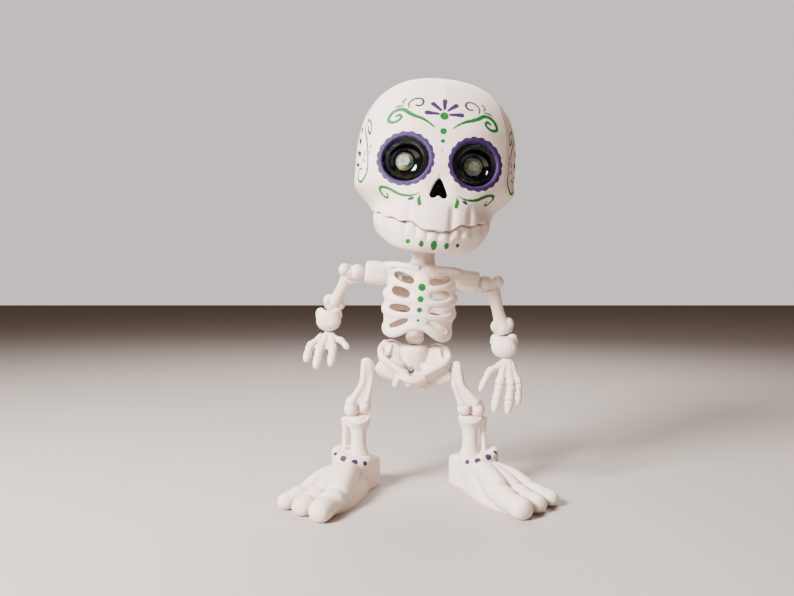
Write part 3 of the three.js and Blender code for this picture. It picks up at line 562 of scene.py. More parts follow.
def jaw_point(angle, share):
    """Share 0 is the chin's lower edge, 1 the bite line; flutes for teeth fade down the front."""
    bottom = 5.5 * np.abs(np.sin(np.radians(angle))) ** 4 - CHIN_DROP
    top = bite_line(angle) - JOINT_GAP
    reach = 0.80 + 0.2 * np.clip(share / 0.62, 0, 1) ** 0.42
    x_plain, y_plain = plan(angle, MOUTH_HALF_WIDTH, FACE_FORWARD - 0.2)
    z = bottom + (top - bottom) * share
    along = np.where(np.abs(x_plain) < 14, x_plain, np.sign(x_plain) * (14 + 0.6 * np.maximum(0, y_plain + 20)))
    valley = np.abs(np.cos(np.pi * (along - TOOTH_START) / TOOTH_WIDTH + np.pi / 2)) ** 0.8
    teeth = 0.85 * (valley - 0.7) * step(share, 0.42, 0.72) * step(88 - np.abs(angle), 0, 20)
    crown_round = -0.5 * step(share, 0.93, 1.0)
    x, y = plan(angle, MOUTH_HALF_WIDTH * reach + teeth + crown_round, (FACE_FORWARD - 0.2) * reach + teeth + crown_round)
    return np.stack([x, y, z + 0 * x], -1)


jaw_angles = np.linspace(-91, 91, JAW_COLUMNS)
outer_shares = np.concatenate([[0.0, 0.004, 0.012, 0.03], np.linspace(0.05, 1, 104)])
outer_wall = jaw_point(jaw_angles[None, :], outer_shares[:, None])
inner_x, inner_y = plan(jaw_angles, *JAW_HOLLOW)
inner_y = inner_y + 2
inner_top = outer_wall[-1, :, 2] + 0.2
inner_bottom = outer_wall[0, :, 2] + 0.2
inner_wall = np.stack([np.broadcast_to(inner_x, (12, JAW_COLUMNS)), np.broadcast_to(inner_y, (12, JAW_COLUMNS)),
                       inner_top + (inner_bottom - inner_top) * np.linspace(0, 1, 12)[:, None]], -1)
ledge = [outer_wall[-1] + (inner_wall[0] - outer_wall[-1]) * s + np.array([0, 0, 0.15 * math.sin(math.pi * s)])
         for s in (0.15, 0.5, 0.85)]
sole = [inner_wall[-1] + (outer_wall[0] - inner_wall[-1]) * s for s in (0.3, 0.7, 0.95)]
section = np.concatenate([outer_wall, np.stack(ledge), inner_wall, np.stack(sole)])
jaw_rows = section.transpose(1, 0, 2)
jaw_points = jaw_rows.reshape(-1, 3)
around_section = section.shape[0]
jaw_points = np.vstack([jaw_points, jaw_rows[0].mean(0) + [0, 2.2, 0], jaw_rows[-1].mean(0) + [0, 2.2, 0]])
jaw_faces = [grid_faces(JAW_COLUMNS, around_section, True),
             fan(np.arange(around_section), len(jaw_points) - 2, False),
             fan((JAW_COLUMNS - 1) * around_section + np.arange(around_section), len(jaw_points) - 1, True)]
jaw_green = np.full(len(jaw_points), 9.0)
for x, z, half_across, half_up in CHIN_DOTS:
    oval = (np.hypot((jaw_points[:, 0] - x) / half_across, (jaw_points[:, 2] - z) / half_up) - 1) * half_across
    jaw_green = np.minimum(jaw_green, np.where(jaw_points[:, 1] < -17, oval, 9.0))

jaw_look = bone_paint("jaw_paint", "Z", ("green",))
jaw = new_piece("jaw_painted", placed(jaw_points, HEAD_AT, HEAD_TURN), jaw_faces, jaw_look, ["lower_jaw"])
note(jaw, "green", jaw_green)
note(jaw, "hollow", hollows(jaw, 16, 2.0))


# Eye stones. Two flat-backed glass stones cut like rhinestones, foiled behind so that each facet throws another colour,
# glued into seats at the back of the sockets.
# That colour is painted on: each facet takes a tint at random, the coloured ones for the rainbow coating, the palest
# ones painted glints of the lights.
STONE_HEIGHT = 2.2
STONE_SIDES = 16
# Facet colours: the tints of the rainbow coating, and near-white painted glints and reflections.
FACET_TINTS_AND_GLINTS = [(0.0, (0.10, 0.55, 0.62)), (0.16, (0.75, 0.90, 0.95)), (0.3, (0.15, 0.30, 0.75)),
               (0.44, (0.85, 0.88, 0.80)), (0.56, (0.75, 0.70, 0.08)), (0.7, (0.16, 0.62, 0.45)),
               (0.84, (0.85, 0.42, 0.12)), (1.0, (0.95, 0.97, 1.0))]
stone_look, stone_tree, stone_shader, stone_place = finish(
    "foiled_crystal", Coat_Weight=1.0, Coat_Roughness=0.02, Roughness=0.08, Metallic=0.55)
facet = stone_place.node("ShaderNodeAttribute", {"attribute_name": "facet"}, output=2)
streak = stone_place.node("ShaderNodeTexNoise", inputs={"Vector": stone_place, "Scale": 900.0, "Detail": 1.0})
# Painted coating colours and glints, one per facet, streaked by noise.
facet_tint_and_glint = (facet * 0.75 + streak * 0.5 - 0.1).node("ShaderNodeValToRGB", {"stops": FACET_TINTS_AND_GLINTS},
                                               {"Fac": facet * 0.75 + streak * 0.5 - 0.1})
stone_tree.links.new(facet_tint_and_glint.socket, stone_shader.inputs["Base Color"])
spin = np.random.default_rng(7)
for side, node in ((-1, "eye_stone_right"), (1, "eye_stone_left")):
    turns = 2 * np.pi * np.arange(STONE_SIDES) / STONE_SIDES
    rings = []
    for radius, forward, shift in ((3.0, 0.0, 0), (STONE_RADIUS, 0.35, 0), (STONE_RADIUS, 0.85, 0),
                                   (2.45, 1.55, 0.5), (1.6, STONE_HEIGHT, 0)):
        a = turns + shift * 2 * np.pi / STONE_SIDES
        rings.append(np.stack([radius * np.cos(a), np.full(STONE_SIDES, -forward), radius * np.sin(a)], -1))
    stone_points = np.vstack([*rings, [0, 0, 0], [0, -STONE_HEIGHT, 0]])
    stone_points = stone_points + [side * EYE_SPREAD, STONE_BACK, STONE_RISE - EYE_DROP]
    ringed = grid_faces(5, STONE_SIDES, True)
    split = np.concatenate([ringed[:, [0, 1, 2]], ringed[:, [0, 2, 3]]])
    stone_faces = [split, fan(np.arange(STONE_SIDES), 5 * STONE_SIDES, False),
                   fan(4 * STONE_SIDES + np.arange(STONE_SIDES), 5 * STONE_SIDES + 1, True)]
    stone = new_piece(f"crystal_{node[10:]}", placed(stone_points, HEAD_AT, HEAD_TURN), stone_faces,
                      stone_look, [node], smooth=False)
    layer = stone.data.attributes.new("facet", "FLOAT", "FACE")
    layer.data.foreach_set("value", spin.random(len(stone.data.polygons)).astype(np.float32))


# Ribcage. One print: five hoops of rib that touch at the sides, a flat breastbone with four
# green dots, a backbone, collar bones out to square shoulder blocks, a square neck post, and
# a lumbar post with the ball that the pelvis turns on.
CHEST_AT = (1.7, 0.0, 68.0)
CHEST_TURN = (0.0, 5.4, 0.0)
CHEST_HALF_DEPTH = 9.3
SPINE_BALL_AT = np.array([-0.5, 1.0, -12.5])
SPINE_BALL_RADIUS = 3.5
NECK_TOP = 30.6
VOXEL = 0.30


def closed(rings):
    """A tube through rings of points, each end closed by a fan to the middle of its ring."""
    rows, columns = rings.shape[:2]
    points = np.vstack([rings.reshape(-1, 3), rings[0].mean(0), rings[-1].mean(0)])
    faces = [grid_faces(rows, columns, True), fan(np.arange(columns), rows * columns, False),
             fan((rows - 1) * columns + np.arange(columns), rows * columns + 1, True)]
    return points, faces


def section_shape(columns, power):
    """Unit rounded outline: power 2 is round, higher is squarer, near 1 is a diamond."""
    turn = 2 * np.pi * np.arange(columns) / columns
    c, s = np.cos(turn), np.sin(turn)
    return np.sign(c) * np.abs(c) ** (2 / power), np.sign(s) * np.abs(s) ** (2 / power)


def stack(rows, power=2.0, columns=28, density=5):
    """Sections up Z, each [height, x, y, half width, half depth], run through smoothly."""
    table = curve_through(rows, density)
    table[:, 3:] = np.maximum(table[:, 3:], 0.05)
    c, s = section_shape(columns, power)
    return closed(np.stack([table[:, 1:2] + table[:, 3:4] * c, table[:, 2:3] + table[:, 4:5] * s,
                            np.broadcast_to(table[:, :1], (len(table), columns))], -1))


def limb(stations, columns=20, density=5, flat=1.0, side=(1.0, 0.0, 0.2), power=2.0):
    """A round section carried along a smooth path; a station is [x, y, z, radius]."""
    table = curve_through(stations, density)
    path, radius = table[:, :3], np.maximum(table[:, 3:4], 0.05)
    axis = np.gradient(path, axis=0)
    axis /= np.linalg.norm(axis, axis=1, keepdims=True)
    depth = np.cross(axis, np.array(side))
    depth /= np.linalg.norm(depth, axis=1, keepdims=True)
    width = np.cross(depth, axis)
    c, s = section_shape(columns, power)
    rings = (path[:, None] + (radius * c)[..., None] * width[:, None]
             + (radius * s * flat)[..., None] * depth[:, None])
    return closed(rings)


def ball(at, radii, rows=18, columns=24):
    """An ellipsoid: latitude circles scaled by three radii."""
    tilt = np.linspace(0.04, np.pi - 0.04, rows)[:, None]
    turn = (2 * np.pi * np.arange(columns) / columns)[None, :]
    unit = np.stack([np.sin(tilt) * np.cos(turn), np.sin(tilt) * np.sin(turn), -np.cos(tilt) + 0 * turn], -1)
    return closed(unit * np.array(radii) + np.array(at))


def shell_object(name, parts):
    """One object holding several closed shells, for the modifiers that fuse or cut them."""
    points, faces, start = [], [], 0
    for part_points, part_faces in parts:
        points.append(part_points)
        faces += [(row + start).tolist() for group in part_faces for row in group]
        start += len(part_points)
    mesh = bpy.data.meshes.new(name)
    mesh.from_pydata(np.vstack(points).tolist(), [], faces)
    new = bpy.data.objects.new(name, mesh)
    bpy.context.scene.collection.objects.link(new)
    return new


def fused(parts, voxel=VOXEL, rounds=6, cuts=None):
    """Points and faces of shells fused into one skin by a voxel remesh, then smoothed."""
    raw = shell_object("raw", parts)
    remesh = raw.modifiers.new("fuse", "REMESH")
    remesh.mode = "VOXEL"
    remesh.voxel_size = voxel
    helper = None
    if cuts:
        helper = shell_object("cutter", cuts)
        merge = helper.modifiers.new("fuse", "REMESH")
        merge.mode = "VOXEL"
        merge.voxel_size = voxel
        cutting = raw.modifiers.new("cut", "BOOLEAN")
        cutting.operation = "DIFFERENCE"
        cutting.solver = "EXACT"
        cutting.object = helper
        again = raw.modifiers.new("fuse_again", "REMESH")
        again.mode = "VOXEL"
        again.voxel_size = voxel
    soften = raw.modifiers.new("soften", "SMOOTH")
    soften.factor = 0.5
    soften.iterations = rounds
    bpy.context.view_layer.update()
    graph = bpy.context.evaluated_depsgraph_get()
    done = raw.evaluated_get(graph).to_mesh()
    points = np.empty(len(done.vertices) * 3)
    done.vertices.foreach_get("co", points)
    loops = np.empty(len(done.loops), dtype=int)
    done.loops.foreach_get("vertex_index", loops)
    totals = np.empty(len(done.polygons), dtype=int)
    done.polygons.foreach_get("loop_total", totals)
    quads = loops.reshape(-1, 4) if (totals == 4).all() else None
    if quads is None:
        starts = np.concatenate([[0], np.cumsum(totals)[:-1]])
        faces = [np.array([loops[s:s + t]]) for s, t in zip(starts, totals)]
    else:
        faces = [quads]
    raw.evaluated_get(graph).to_mesh_clear()
    for used in (raw, helper):
        if used:
            mesh = used.data
            bpy.data.objects.remove(used)
            bpy.data.meshes.remove(mesh)
    return points.reshape(-1, 3), faces


def bone(name, node, shape, at, turns, look, side=1, inks=None):
    """Put a fused shape in its place, mirrored for the figure's right, and note its hollows."""
    points, faces = shape
    if side < 0:
        points = points * [-1, 1, 1]
        faces = [group[:, ::-1] for group in faces]
    new = new_piece(name, placed(points, at, turns), faces, look, [node])
    note(new, "hollow", hollows(new, 14, 2.4))
    for ink, reach_of in (inks or {}).items():
        note(new, ink, reach_of)
    return new


RIB_RISES = [(9.8, 11.2, 12.0, 12.4), (4.9, 6.0, 8.0, 9.2), (-0.1, 0.6, 2.7, 4.2),
             (-4.3, -4.9, -2.9, -1.0), (-7.3, -11.7, -10.0, -6.4)]
RIB_STATIONS = (0, 42, 90, 180)
RIB_HALF_WIDTHS = (11.6, 13.0, 13.8, 13.8, 13.0)
RIB_DEPTH_SHARES = (0.84, 0.95, 1.0, 1.0, 0.95)
RIB_BANDS = ((1.5, 1.75, 1.9, 1.5), (1.4, 1.7, 1.9, 1.5), (1.4, 1.7, 1.9, 1.5), (1.4, 1.75, 2.0, 1.5),
             (1.3, 2.35, 2.2, 1.5))
RIB_WALL = 1.25
CHEST_COLUMNS = 120
chest_turn = np.radians(np.arange(0, 360, 360 / CHEST_COLUMNS))
chest_aside = np.degrees(np.arccos(np.cos(chest_turn)))


def eased(values, spread=6):
    """A closed row of values with each one the mean of its neighbours, to round off corners."""
    kernel = np.ones(2 * spread + 1) / (2 * spread + 1)
    return np.convolve(np.concatenate([values[-spread:], values, values[:spread]]), kernel, "same")[spread:-spread]


def rib(heights, half_width, depth_share, band):
    """A hoop whose height and band change from breastbone to bow, side and spine."""
    middle = eased(np.interp(chest_aside, RIB_STATIONS, heights))
    half_band = eased(np.interp(chest_aside, RIB_STATIONS, band))
    c, s = section_shape(16, 2.2)
    across, ahead = np.sin(chest_turn)[:, None], -np.cos(chest_turn)[:, None]
    rings = np.stack([across * (half_width - RIB_WALL + RIB_WALL * c),
                      ahead * (CHEST_HALF_DEPTH * depth_share - RIB_WALL + RIB_WALL * c),
                      middle[:, None] + half_band[:, None] * s], -1)
    rings = np.concatenate([rings, rings[:1]])
    return rings.reshape(-1, 3), [grid_faces(len(rings), 16, True)]


def chest_wall():
    """The thinner wall that the ribs stand out of: outer rings up, then inner rings down."""
    levels = np.array([np.interp(chest_aside, RIB_STATIONS, heights) for heights in RIB_RISES[::-1]])
    widths, depths = np.array(RIB_HALF_WIDTHS[::-1]), np.array(RIB_DEPTH_SHARES[::-1])
    rings = []
    for inwards, shares in ((0.75, np.linspace(0, 4, 17)), (1.95, np.linspace(4, 0, 17))):
        for share in shares:
            low = min(int(share), 3)
            part = share - low
            height = eased(levels[low] * (1 - part) + levels[low + 1] * part)
            width = np.interp(share, np.arange(5), widths) - inwards
            depth = CHEST_HALF_DEPTH * np.interp(share, np.arange(5), depths) - inwards
            rings.append(np.stack([np.sin(chest_turn) * width, -np.cos(chest_turn) * depth, height], -1))
    rings.append(rings[0])
    return np.stack(rings).reshape(-1, 3), [grid_faces(len(rings), CHEST_COLUMNS, True)]


# Openings between the ribs for one side: [out from the middle, height, half length, half
# height, upward slope outwards in degrees]; the front ones first, then those beside the spine.
FRONT_WINDOWS = [(6.5, 8.5, 3.9, 1.6, 20), (7.2, 3.2, 3.4, 1.8, 15), (7.0, -2.5, 3.9, 1.35, 2),
                 (7.0, -7.9, 3.7, 1.05, -27)]
BACK_WINDOWS = [(7.0, 10.4, 3.4, 0.8, 2), (7.6, 6.2, 3.9, 0.9, 4), (7.8, 0.9, 3.9, 0.9, 4),
                (7.2, -4.9, 3.7, 1.1, -10)]


def window_tool(x, z, half_length, half_height, slope, near, far):
    """An oval bar along Y that opens the wall between two depths."""
    lean = math.radians(slope)
    c, s = section_shape(28, 2.3)
    u, v = half_length * c, half_height * s
    oval = np.stack([x + u * math.cos(lean) - v * math.sin(lean), z + u * math.sin(lean) + v * math.cos(lean)], -1)
    depths = np.linspace(near, far, 8)
    rings = np.stack([np.column_stack([oval[:, 0], np.full(28, d), oval[:, 1]]) for d in depths])
    return closed(rings)


chest_parts = [rib(*row) for row in zip(RIB_RISES, RIB_HALF_WIDTHS, RIB_DEPTH_SHARES, RIB_BANDS)]
chest_parts += [
    chest_wall(),
    stack([[-8.3, 0, -7.7, 2.2, 0.9], [-6, 0, -7.8, 3.9, 1.3], [-1, 0, -7.9, 3.8, 1.35], [4, 0, -7.7, 3.4, 1.35],
           [8.5, 0, -7.0, 3.0, 1.3], [12.2, 0, -6.2, 3.3, 1.3], [13.2, 0, -5.6, 2.8, 1]], 2.2),
    stack([[-8, 0, 7.9, 2.2, 1.2], [0, 0, 8.1, 2.6, 1.5], [8, 0, 7.6, 2.4, 1.5], [13, 0, 6, 2.2, 1.6]], 2.4),
    stack([[10.2, 0, 0, 9.4, 6.0], [11.6, 0, 0, 10.2, 6.5], [13, 0, 0, 9.5, 6.0], [13.9, 0, 0, 7.2, 5.0]], 2.4),
    stack([[12.4, 0, 1, 6.8, 5.6], [14.2, 0, 1, 5.0, 4.6], [16.2, -0.1, 1, 4.3, 4.1], [20, -0.2, 1, 4.15, 4.0],
           [NECK_TOP - 0.4, -0.6, 0.7, 4.1, 4.0], [NECK_TOP, -0.6, 0.7, 3.9, 3.8]], 1.35),
    limb([[-0.2, 8, -6.4, 2.1], [-0.3, 6.5, -9.4, 2.1], [-0.5, 3.4, -11.6, 2.2], [-0.5, 1, -12.4, 2.2]]),
    ball(SPINE_BALL_AT, [SPINE_BALL_RADIUS] * 3),
]
chest_cuts = []
for side in (-1, 1):
    chest_parts += [
        limb([[side * 1.4, -7.2, 12.3, 1.2], [side * 5, -6.6, 12.7, 1.1], [side * 9.5, -4.2, 12.9, 1.2],
              [side * 13.5, -1.2, 12.4, 1.6]], side=(0, 0, 1)),
        limb([[side * 7.5, 0.3, 10.8, 3.3], [side * 11, 0.3, 10.2, 3.5], [side * 12.9, 0.4, 9.7, 3.7],
              [side * 14, 0.4, 9.5, 4.15], [side * 17.2, 0.4, 9.4, 4.4], [side * 20.0, 0.4, 9.4, 4.2],
              [side * 20.9, 0.4, 9.4, 3.4]], side=(0, 1, 0), power=2.9),
    ]
    for x, z, half_length, half_height, slope in FRONT_WINDOWS:
        chest_cuts.append(window_tool(side * x, z, half_length, half_height, side * slope, -13, -1.5))
    for x, z, half_length, half_height, slope in BACK_WINDOWS:
        chest_cuts.append(window_tool(side * x, z, half_length, half_height, side * slope, 1.5, 13))
chest_points, chest_faces = fused(chest_parts, 0.26, 8, chest_cuts)
from_ball = chest_points - SPINE_BALL_AT
near_ball = hump(np.linalg.norm(from_ball, axis=1), SPINE_BALL_RADIUS, 0.8)
chest_points = chest_points - (from_ball / np.maximum(np.linalg.norm(from_ball, axis=1, keepdims=True), 0.1)
                               * (0.4 * near_ball * hump(from_ball[:, 2], 0.5, 0.35))[:, None])
STERNUM_DOTS = [(0.0, 5.6, 1.4), (-0.1, 1.4, 1.15), (-0.1, -2.5, 0.98), (-0.2, -6.2, 0.55)]
sternum_green = np.full(len(chest_points), 9.0)
for x, z, radius in STERNUM_DOTS:
    gap = np.hypot(chest_points[:, 0] - x, chest_points[:, 2] - z) - radius
    sternum_green = np.minimum(sternum_green, np.where(chest_points[:, 1] < -7, gap, 9.0))
chest_look = bone_paint("chest_paint", "Y", ("green",), 0.00004)
bone("ribcage_painted", "ribcage", (chest_points, chest_faces), CHEST_AT, CHEST_TURN, chest_look,
     inks={"green": sternum_green})


# Pelvis. One print, laid flat: a bowl of two wings with a thick rolled brim in front, a cup
# behind that takes the spine ball, lumps under the brim and a stub each side for the legs.
PELVIS_AT = (-0.5, 0.0, 46.0)
PELVIS_TURN = (0.0, 5.2, 0.0)
PELVIS_HALF_WIDTH = 13.6
PELVIS_HALF_DEPTH = 8.8
BOWL_WALL = 1.7
RIM_ANGLES = [0, 22, 45, 66, 84, 106, 132, 158, 180]
RIM_HEIGHTS = [-3.9, -2.9, -0.1, 1.6, 4.4, 7.2, 7.7, 5.8, 4.2]
REACH_HEIGHTS = [-7.6, -6.4, -3, 0.5, 3.4, 7.9]
REACH_SHARES = [0.34, 0.5, 0.78, 0.97, 1, 0.84]

wing_turn = 2 * np.pi * np.arange(96) / 96
wing_aside = np.degrees(np.arccos(np.cos(wing_turn)))
rim_heights = np.interp(wing_aside, RIM_ANGLES, RIM_HEIGHTS)
rim_heights = np.convolve(np.concatenate([rim_heights[-6:], rim_heights, rim_heights[:6]]), np.ones(7) / 7,
                          "same")[6:-6]


def bowl_ring(heights, inwards):
    """Points round the bowl at heights, drawn in by the wall on its inner face."""
    share = np.interp(heights, REACH_HEIGHTS, REACH_SHARES)
    return np.stack([np.sin(wing_turn) * (PELVIS_HALF_WIDTH * share - inwards),
                     -np.cos(wing_turn) * (PELVIS_HALF_DEPTH * share - inwards), heights], -1)


bowl_rings = [bowl_ring(-7.2 + (rim_heights + 7.2) * s, 0) for s in (0, 0.08, 0.2, 0.35, 0.5, 0.65, 0.8, 0.92)]
bowl_rings += [bowl_ring(rim_heights, 0.5), bowl_ring(rim_heights, BOWL_WALL - 0.4)]
bowl_rings += [bowl_ring(-5.2 + (rim_heights + 5.2) * s, BOWL_WALL) for s in (0.92, 0.75, 0.55, 0.35, 0.15, 0.02)]
brim = bowl_ring(rim_heights - 0.7, 0.9)
front = (wing_aside < 112)
order = np.argsort(np.where(wing_turn > np.pi, wing_turn - 2 * np.pi, wing_turn))
front_path = brim[order][front[order]][::3]
brim_radius = 1.25 + 0.25 * hump(np.linspace(-1, 1, len(front_path)), 0, 0.3)
pelvis_parts = [
    closed(np.stack(bowl_rings)),
    limb(np.column_stack([front_path, brim_radius]), density=3, side=(0, 0, 1)),
    stack([[-4.6, 0, 2.6, 4.4, 3.2], [-2, 0, 2.6, 4.9, 3.9], [1.5, 0, 2.2, 5.2, 4.7], [4.6, 0, 1.6, 5.3, 4.9],
           [5.8, 0, 1.6, 4.9, 4.5], [6.3, 0, 1.6, 4.2, 3.9]], 2.2),
    limb([[-4.4, -6.2, -4.4, 1.5], [-1.5, -7.1, -5.2, 1.8], [1.5, -7.1, -5.4, 1.8], [4.4, -6.2, -4.8, 1.5]],
         side=(0, 0, 1)),
    limb([[-4.9, -5.6, -4.8, 1.3], [-5.5, -4.6, -6.6, 1.35], [-5.8, -3.9, -8.2, 1.5], [-5.9, -3.7, -9.0, 0.9]]),
    limb([[-1.2, -6.6, -5.8, 1.3], [-1.0, -6.0, -7.2, 1.6], [-0.9, -5.6, -8.2, 0.9]]),
    limb([[3.2, -5.8, -5.2, 1.3], [3.8, -4.6, -7.0, 1.5], [4.1, -3.9, -8.6, 1.75], [4.2, -3.7, -9.5, 1.0]]),
    limb([[-4.5, 0.5, -6.0, 2.3], [-8, 0.4, -4.6, 2.9], [-11.4, 0.3, -3.2, 3.0], [-13.1, 0.3, -2.4, 2.7],
          [-13.5, 0.3, -2.2, 2.0]], side=(0, 1, 0)),
    limb([[4.5, 0.5, -6.0, 2.6], [7, 0.4, -5.0, 3.3], [9.6, 0.3, -4.0, 3.5], [12.8, 0.3, -2.6, 3.3],
          [13.5, 0.3, -2.2, 2.6]], side=(0, 1, 0), power=3.6),
    ball([-8.2, 0.6, 2.2], [4.9, 2.3, 4.3]), ball([8.2, 0.6, 2.2], [4.9, 2.3, 4.3]),
    ball([-7.2, -1.6, -1.6], [4.4, 2.6, 2.6]), ball([7.2, -1.6, -1.6], [4.4, 2.6, 2.6]),
    limb([[-11.2, -2.8, 0.8, 0.9], [-9.4, -1.9, 3.2, 0.8], [-8.8, -1.0, 6.0, 0.7]], side=(0, 1, 0)),
    limb([[11.2, -2.8, 0.8, 0.9], [9.4, -1.9, 3.2, 0.8], [8.8, -1.0, 6.0, 0.7]], side=(0, 1, 0)),
]
ball_in_hips = np.array([1.3, 1.0, 9.6])
pelvis_cuts = [
    ball(ball_in_hips, [SPINE_BALL_RADIUS + 0.4] * 3),
    limb([[-0.6, -12, -3.0, 1.2], [-0.6, 0, -2.9, 1.35], [-0.6, 9, -2.7, 1.2]], side=(1, 0, 0), power=1.6),
]
pelvis_look = bone_paint("pelvis_paint", "Y", (), 0.00006)
bone("pelvis_painted", "pelvis", fused(pelvis_parts, 0.24, 12, pelvis_cuts), PELVIS_AT, PELVIS_TURN, pelvis_look)


# Arms. Three loose prints a side. The upper arm has a ball and a knob at the shoulder and a
# flared elbow; the short forearm points forward and ends in a dome; the hand has a thumb and
# three fingers, each with its knuckles. X is outwards from the body.
ELBOW_DROP = 18.6
SIDES = {
    "right": dict(side=-1, arm=((-23.4, 0, 79.7), (38, 24.8, 0)), forearm=((-31.9, 10.6, 62.1), (2, 0, 0)),
                  hand=((-31.6, 2.2, 56.7), (-16, 8, 0)),
                  thigh=((-18, -1, 47.7), (0, -4, 0)), shin=(-20.6, -1.4, 12.2), foot=((-22.8, -2, 0), (0, 0, -28))),
    "left": dict(side=1, arm=((27.9, 0, 75.4), (3, -14.5, 0)), forearm=((32.6, 1.2, 52.9), (1, 0, -7)),
                 hand=((32.4, -8, 48.1), (0, 0, 0)),
                 thigh=((15, -0.4, 46.4), (0, -4.5, 0)), shin=(20.2, -0.4, 12.2), foot=((23.1, 0, 0), (0, 0, 31.5))),
}

arm_look = bone_paint("arm_paint", "Y", (), 0.00009)
upper_arm = fused([
    stack([[1.4, 0.8, 0, 1.6, 1.4], [0.2, 0.5, 0, 2.7, 2.4], [-4, 0, 0, 2.6, 2.35], [-9, 0, 0, 2.2, 2.0],
           [-13, 0, 0, 2.35, 2.1], [-15.6, 0.1, 0, 3.1, 2.5], [-17.6, 0.2, 0, 3.9, 2.8],
           [-ELBOW_DROP - 1.1, 0.2, 0, 2.9, 2.2]]),
    ball([-2.0, 0, 0.1], [2.7, 3.0, 3.15]),
    ball([2.6, -0.3, -0.3], [2.1, 2.2, 2.4]),
    limb([[-4.2, -0.6, -2.6, 0.7], [-1.6, -2.0, -3.4, 0.8], [1.2, -2.2, -3.2, 0.6]], side=(0, 0, 1)),
    ball([2.9, 0, -16.4], [1.7, 2.3, 2.2]),
    ball([-2.5, 0, -16.4], [1.6, 2.3, 2.2]),
], 0.22, 9)
forearm = fused([
    limb([[0, 3.4, 0, 1.4], [0, 2.2, 0, 2.9], [0, 0.2, -0.1, 3.3], [0, -3.2, -0.2, 3.2], [0, -7.2, -0.4, 4.3],
          [0, -9.7, -0.5, 4.55], [0, -11.3, -0.55, 3.9], [0, -12.2, -0.6, 2.4], [0, -12.5, -0.6, 0.6]],
         flat=0.86, side=(1, 0, 0)),
    limb([[-4.0, -7.4, 0.6, 1.0], [-3.3, -8.6, 3.0, 1.25], [-1.4, -9.6, 2.5, 1.0], [0.2, -10.2, 1.7, 0.8],
          [1.4, -9.6, 2.5, 1.0], [3.3, -8.6, 3.0, 1.25], [4.0, -7.4, 0.6, 1.0]], side=(0, 1, 0)),
], 0.22, 6)

DIGIT_PROFILE = [(0, 0.9), (0.1, 0.9), (0.28, 0.78), (0.42, 1.04), (0.49, 1.0), (0.515, 0.74), (0.545, 1.02),
                 (0.64, 0.82), (0.735, 1.02), (0.76, 0.74), (0.79, 0.98), (0.9, 0.8), (0.97, 0.55), (1, 0.15)]


def digit(base, knuckle, tip, radius):
    """A finger as a tube from wrist over knuckle to tip, its radius waisted along each bone."""
    shares = np.array([share for share, _ in DIGIT_PROFILE])
    first = np.clip(shares / 0.5, 0, 1)[:, None]
    second = np.clip((shares - 0.5) / 0.5, 0, 1)[:, None]
    path = base + (knuckle - base) * first + (tip - knuckle) * second
    radii = radius * np.array([size for _, size in DIGIT_PROFILE])
    return limb(np.column_stack([path, radii]), columns=14, density=3)


# Places of the digits in each hand's own frame: knuckle, tip and thickness, from the outer
# finger inwards, then the thumb.
HANDS = {
    "right": ([((6.1, -1.6, -6.3), (6.3, -3.4, -12.6), 1.6), ((2.4, -1.8, -7.0), (2.2, -3.8, -14.6), 1.72),
               ((-2.5, -1.7, -6.3), (-2.8, -3.4, -12.9), 1.65), ((-5.2, -0.9, -2.6), (-8.1, -1.6, -5.4), 1.25)],
              (3.6, 1.5)),
    "left": ([((4.0, -0.7, -8.4), (3.7, -0.9, -16.6), 1.5), ((1.3, -1.0, -9.0), (0.1, -1.4, -19.5), 1.72),
              ((-2.6, -1.0, -8.8), (-4.8, -1.5, -19.0), 1.72), ((-6.4, -0.8, -4.4), (-9.8, -1.4, -11.4), 1.35)],
             (3.2, 1.2)),
}


def hand_parts(digits, palm_half):
    """A wrist and palm, and for each digit a tube from the wrist over its knuckle to its tip."""
    half_width, half_depth = palm_half
    parts = [stack([[0.2, 0, 0, 1.9, 1.5], [-1.4, 0.1, 0, 2.6, 1.6], [-3.6, 0.2, -0.3, half_width, half_depth],
                    [-6.4, 0.5, -0.8, half_width, half_depth * 0.8]], 2.4, 20, 3)]
    for knuckle, tip, radius in digits:
        is_thumb = knuckle is digits[-1][0]
        start = np.array([knuckle[0] * (0.2 if is_thumb else 0.36), -0.3, -1.2 if is_thumb else -1.4])
        parts.append(digit(start, np.array(knuckle), np.array(tip), radius))
    return parts


for name, limb_set in SIDES.items():
    side = limb_set["side"]
    bone(f"upper_arm_{name}_painted", f"upper_arm_{name}", upper_arm, *limb_set["arm"], arm_look, side)
    bone(f"forearm_{name}_painted", f"forearm_{name}", forearm, *limb_set["forearm"], arm_look, side)
    bone(f"hand_{name}_painted", f"hand_{name}", fused(hand_parts(*HANDS[name]), 0.2, 3), *limb_set["hand"],
         arm_look, side)


# Legs. The thigh bone has a fork at the hip and two knuckles at the knee; the shin bone and
# the thin calf bone beside it are one print with a slit between them and a hollowed top.
KNUCKLES = [((1.7, -0.2, -17.4), 2.6), ((6.5, -0.2, -18.2), 2.85)]

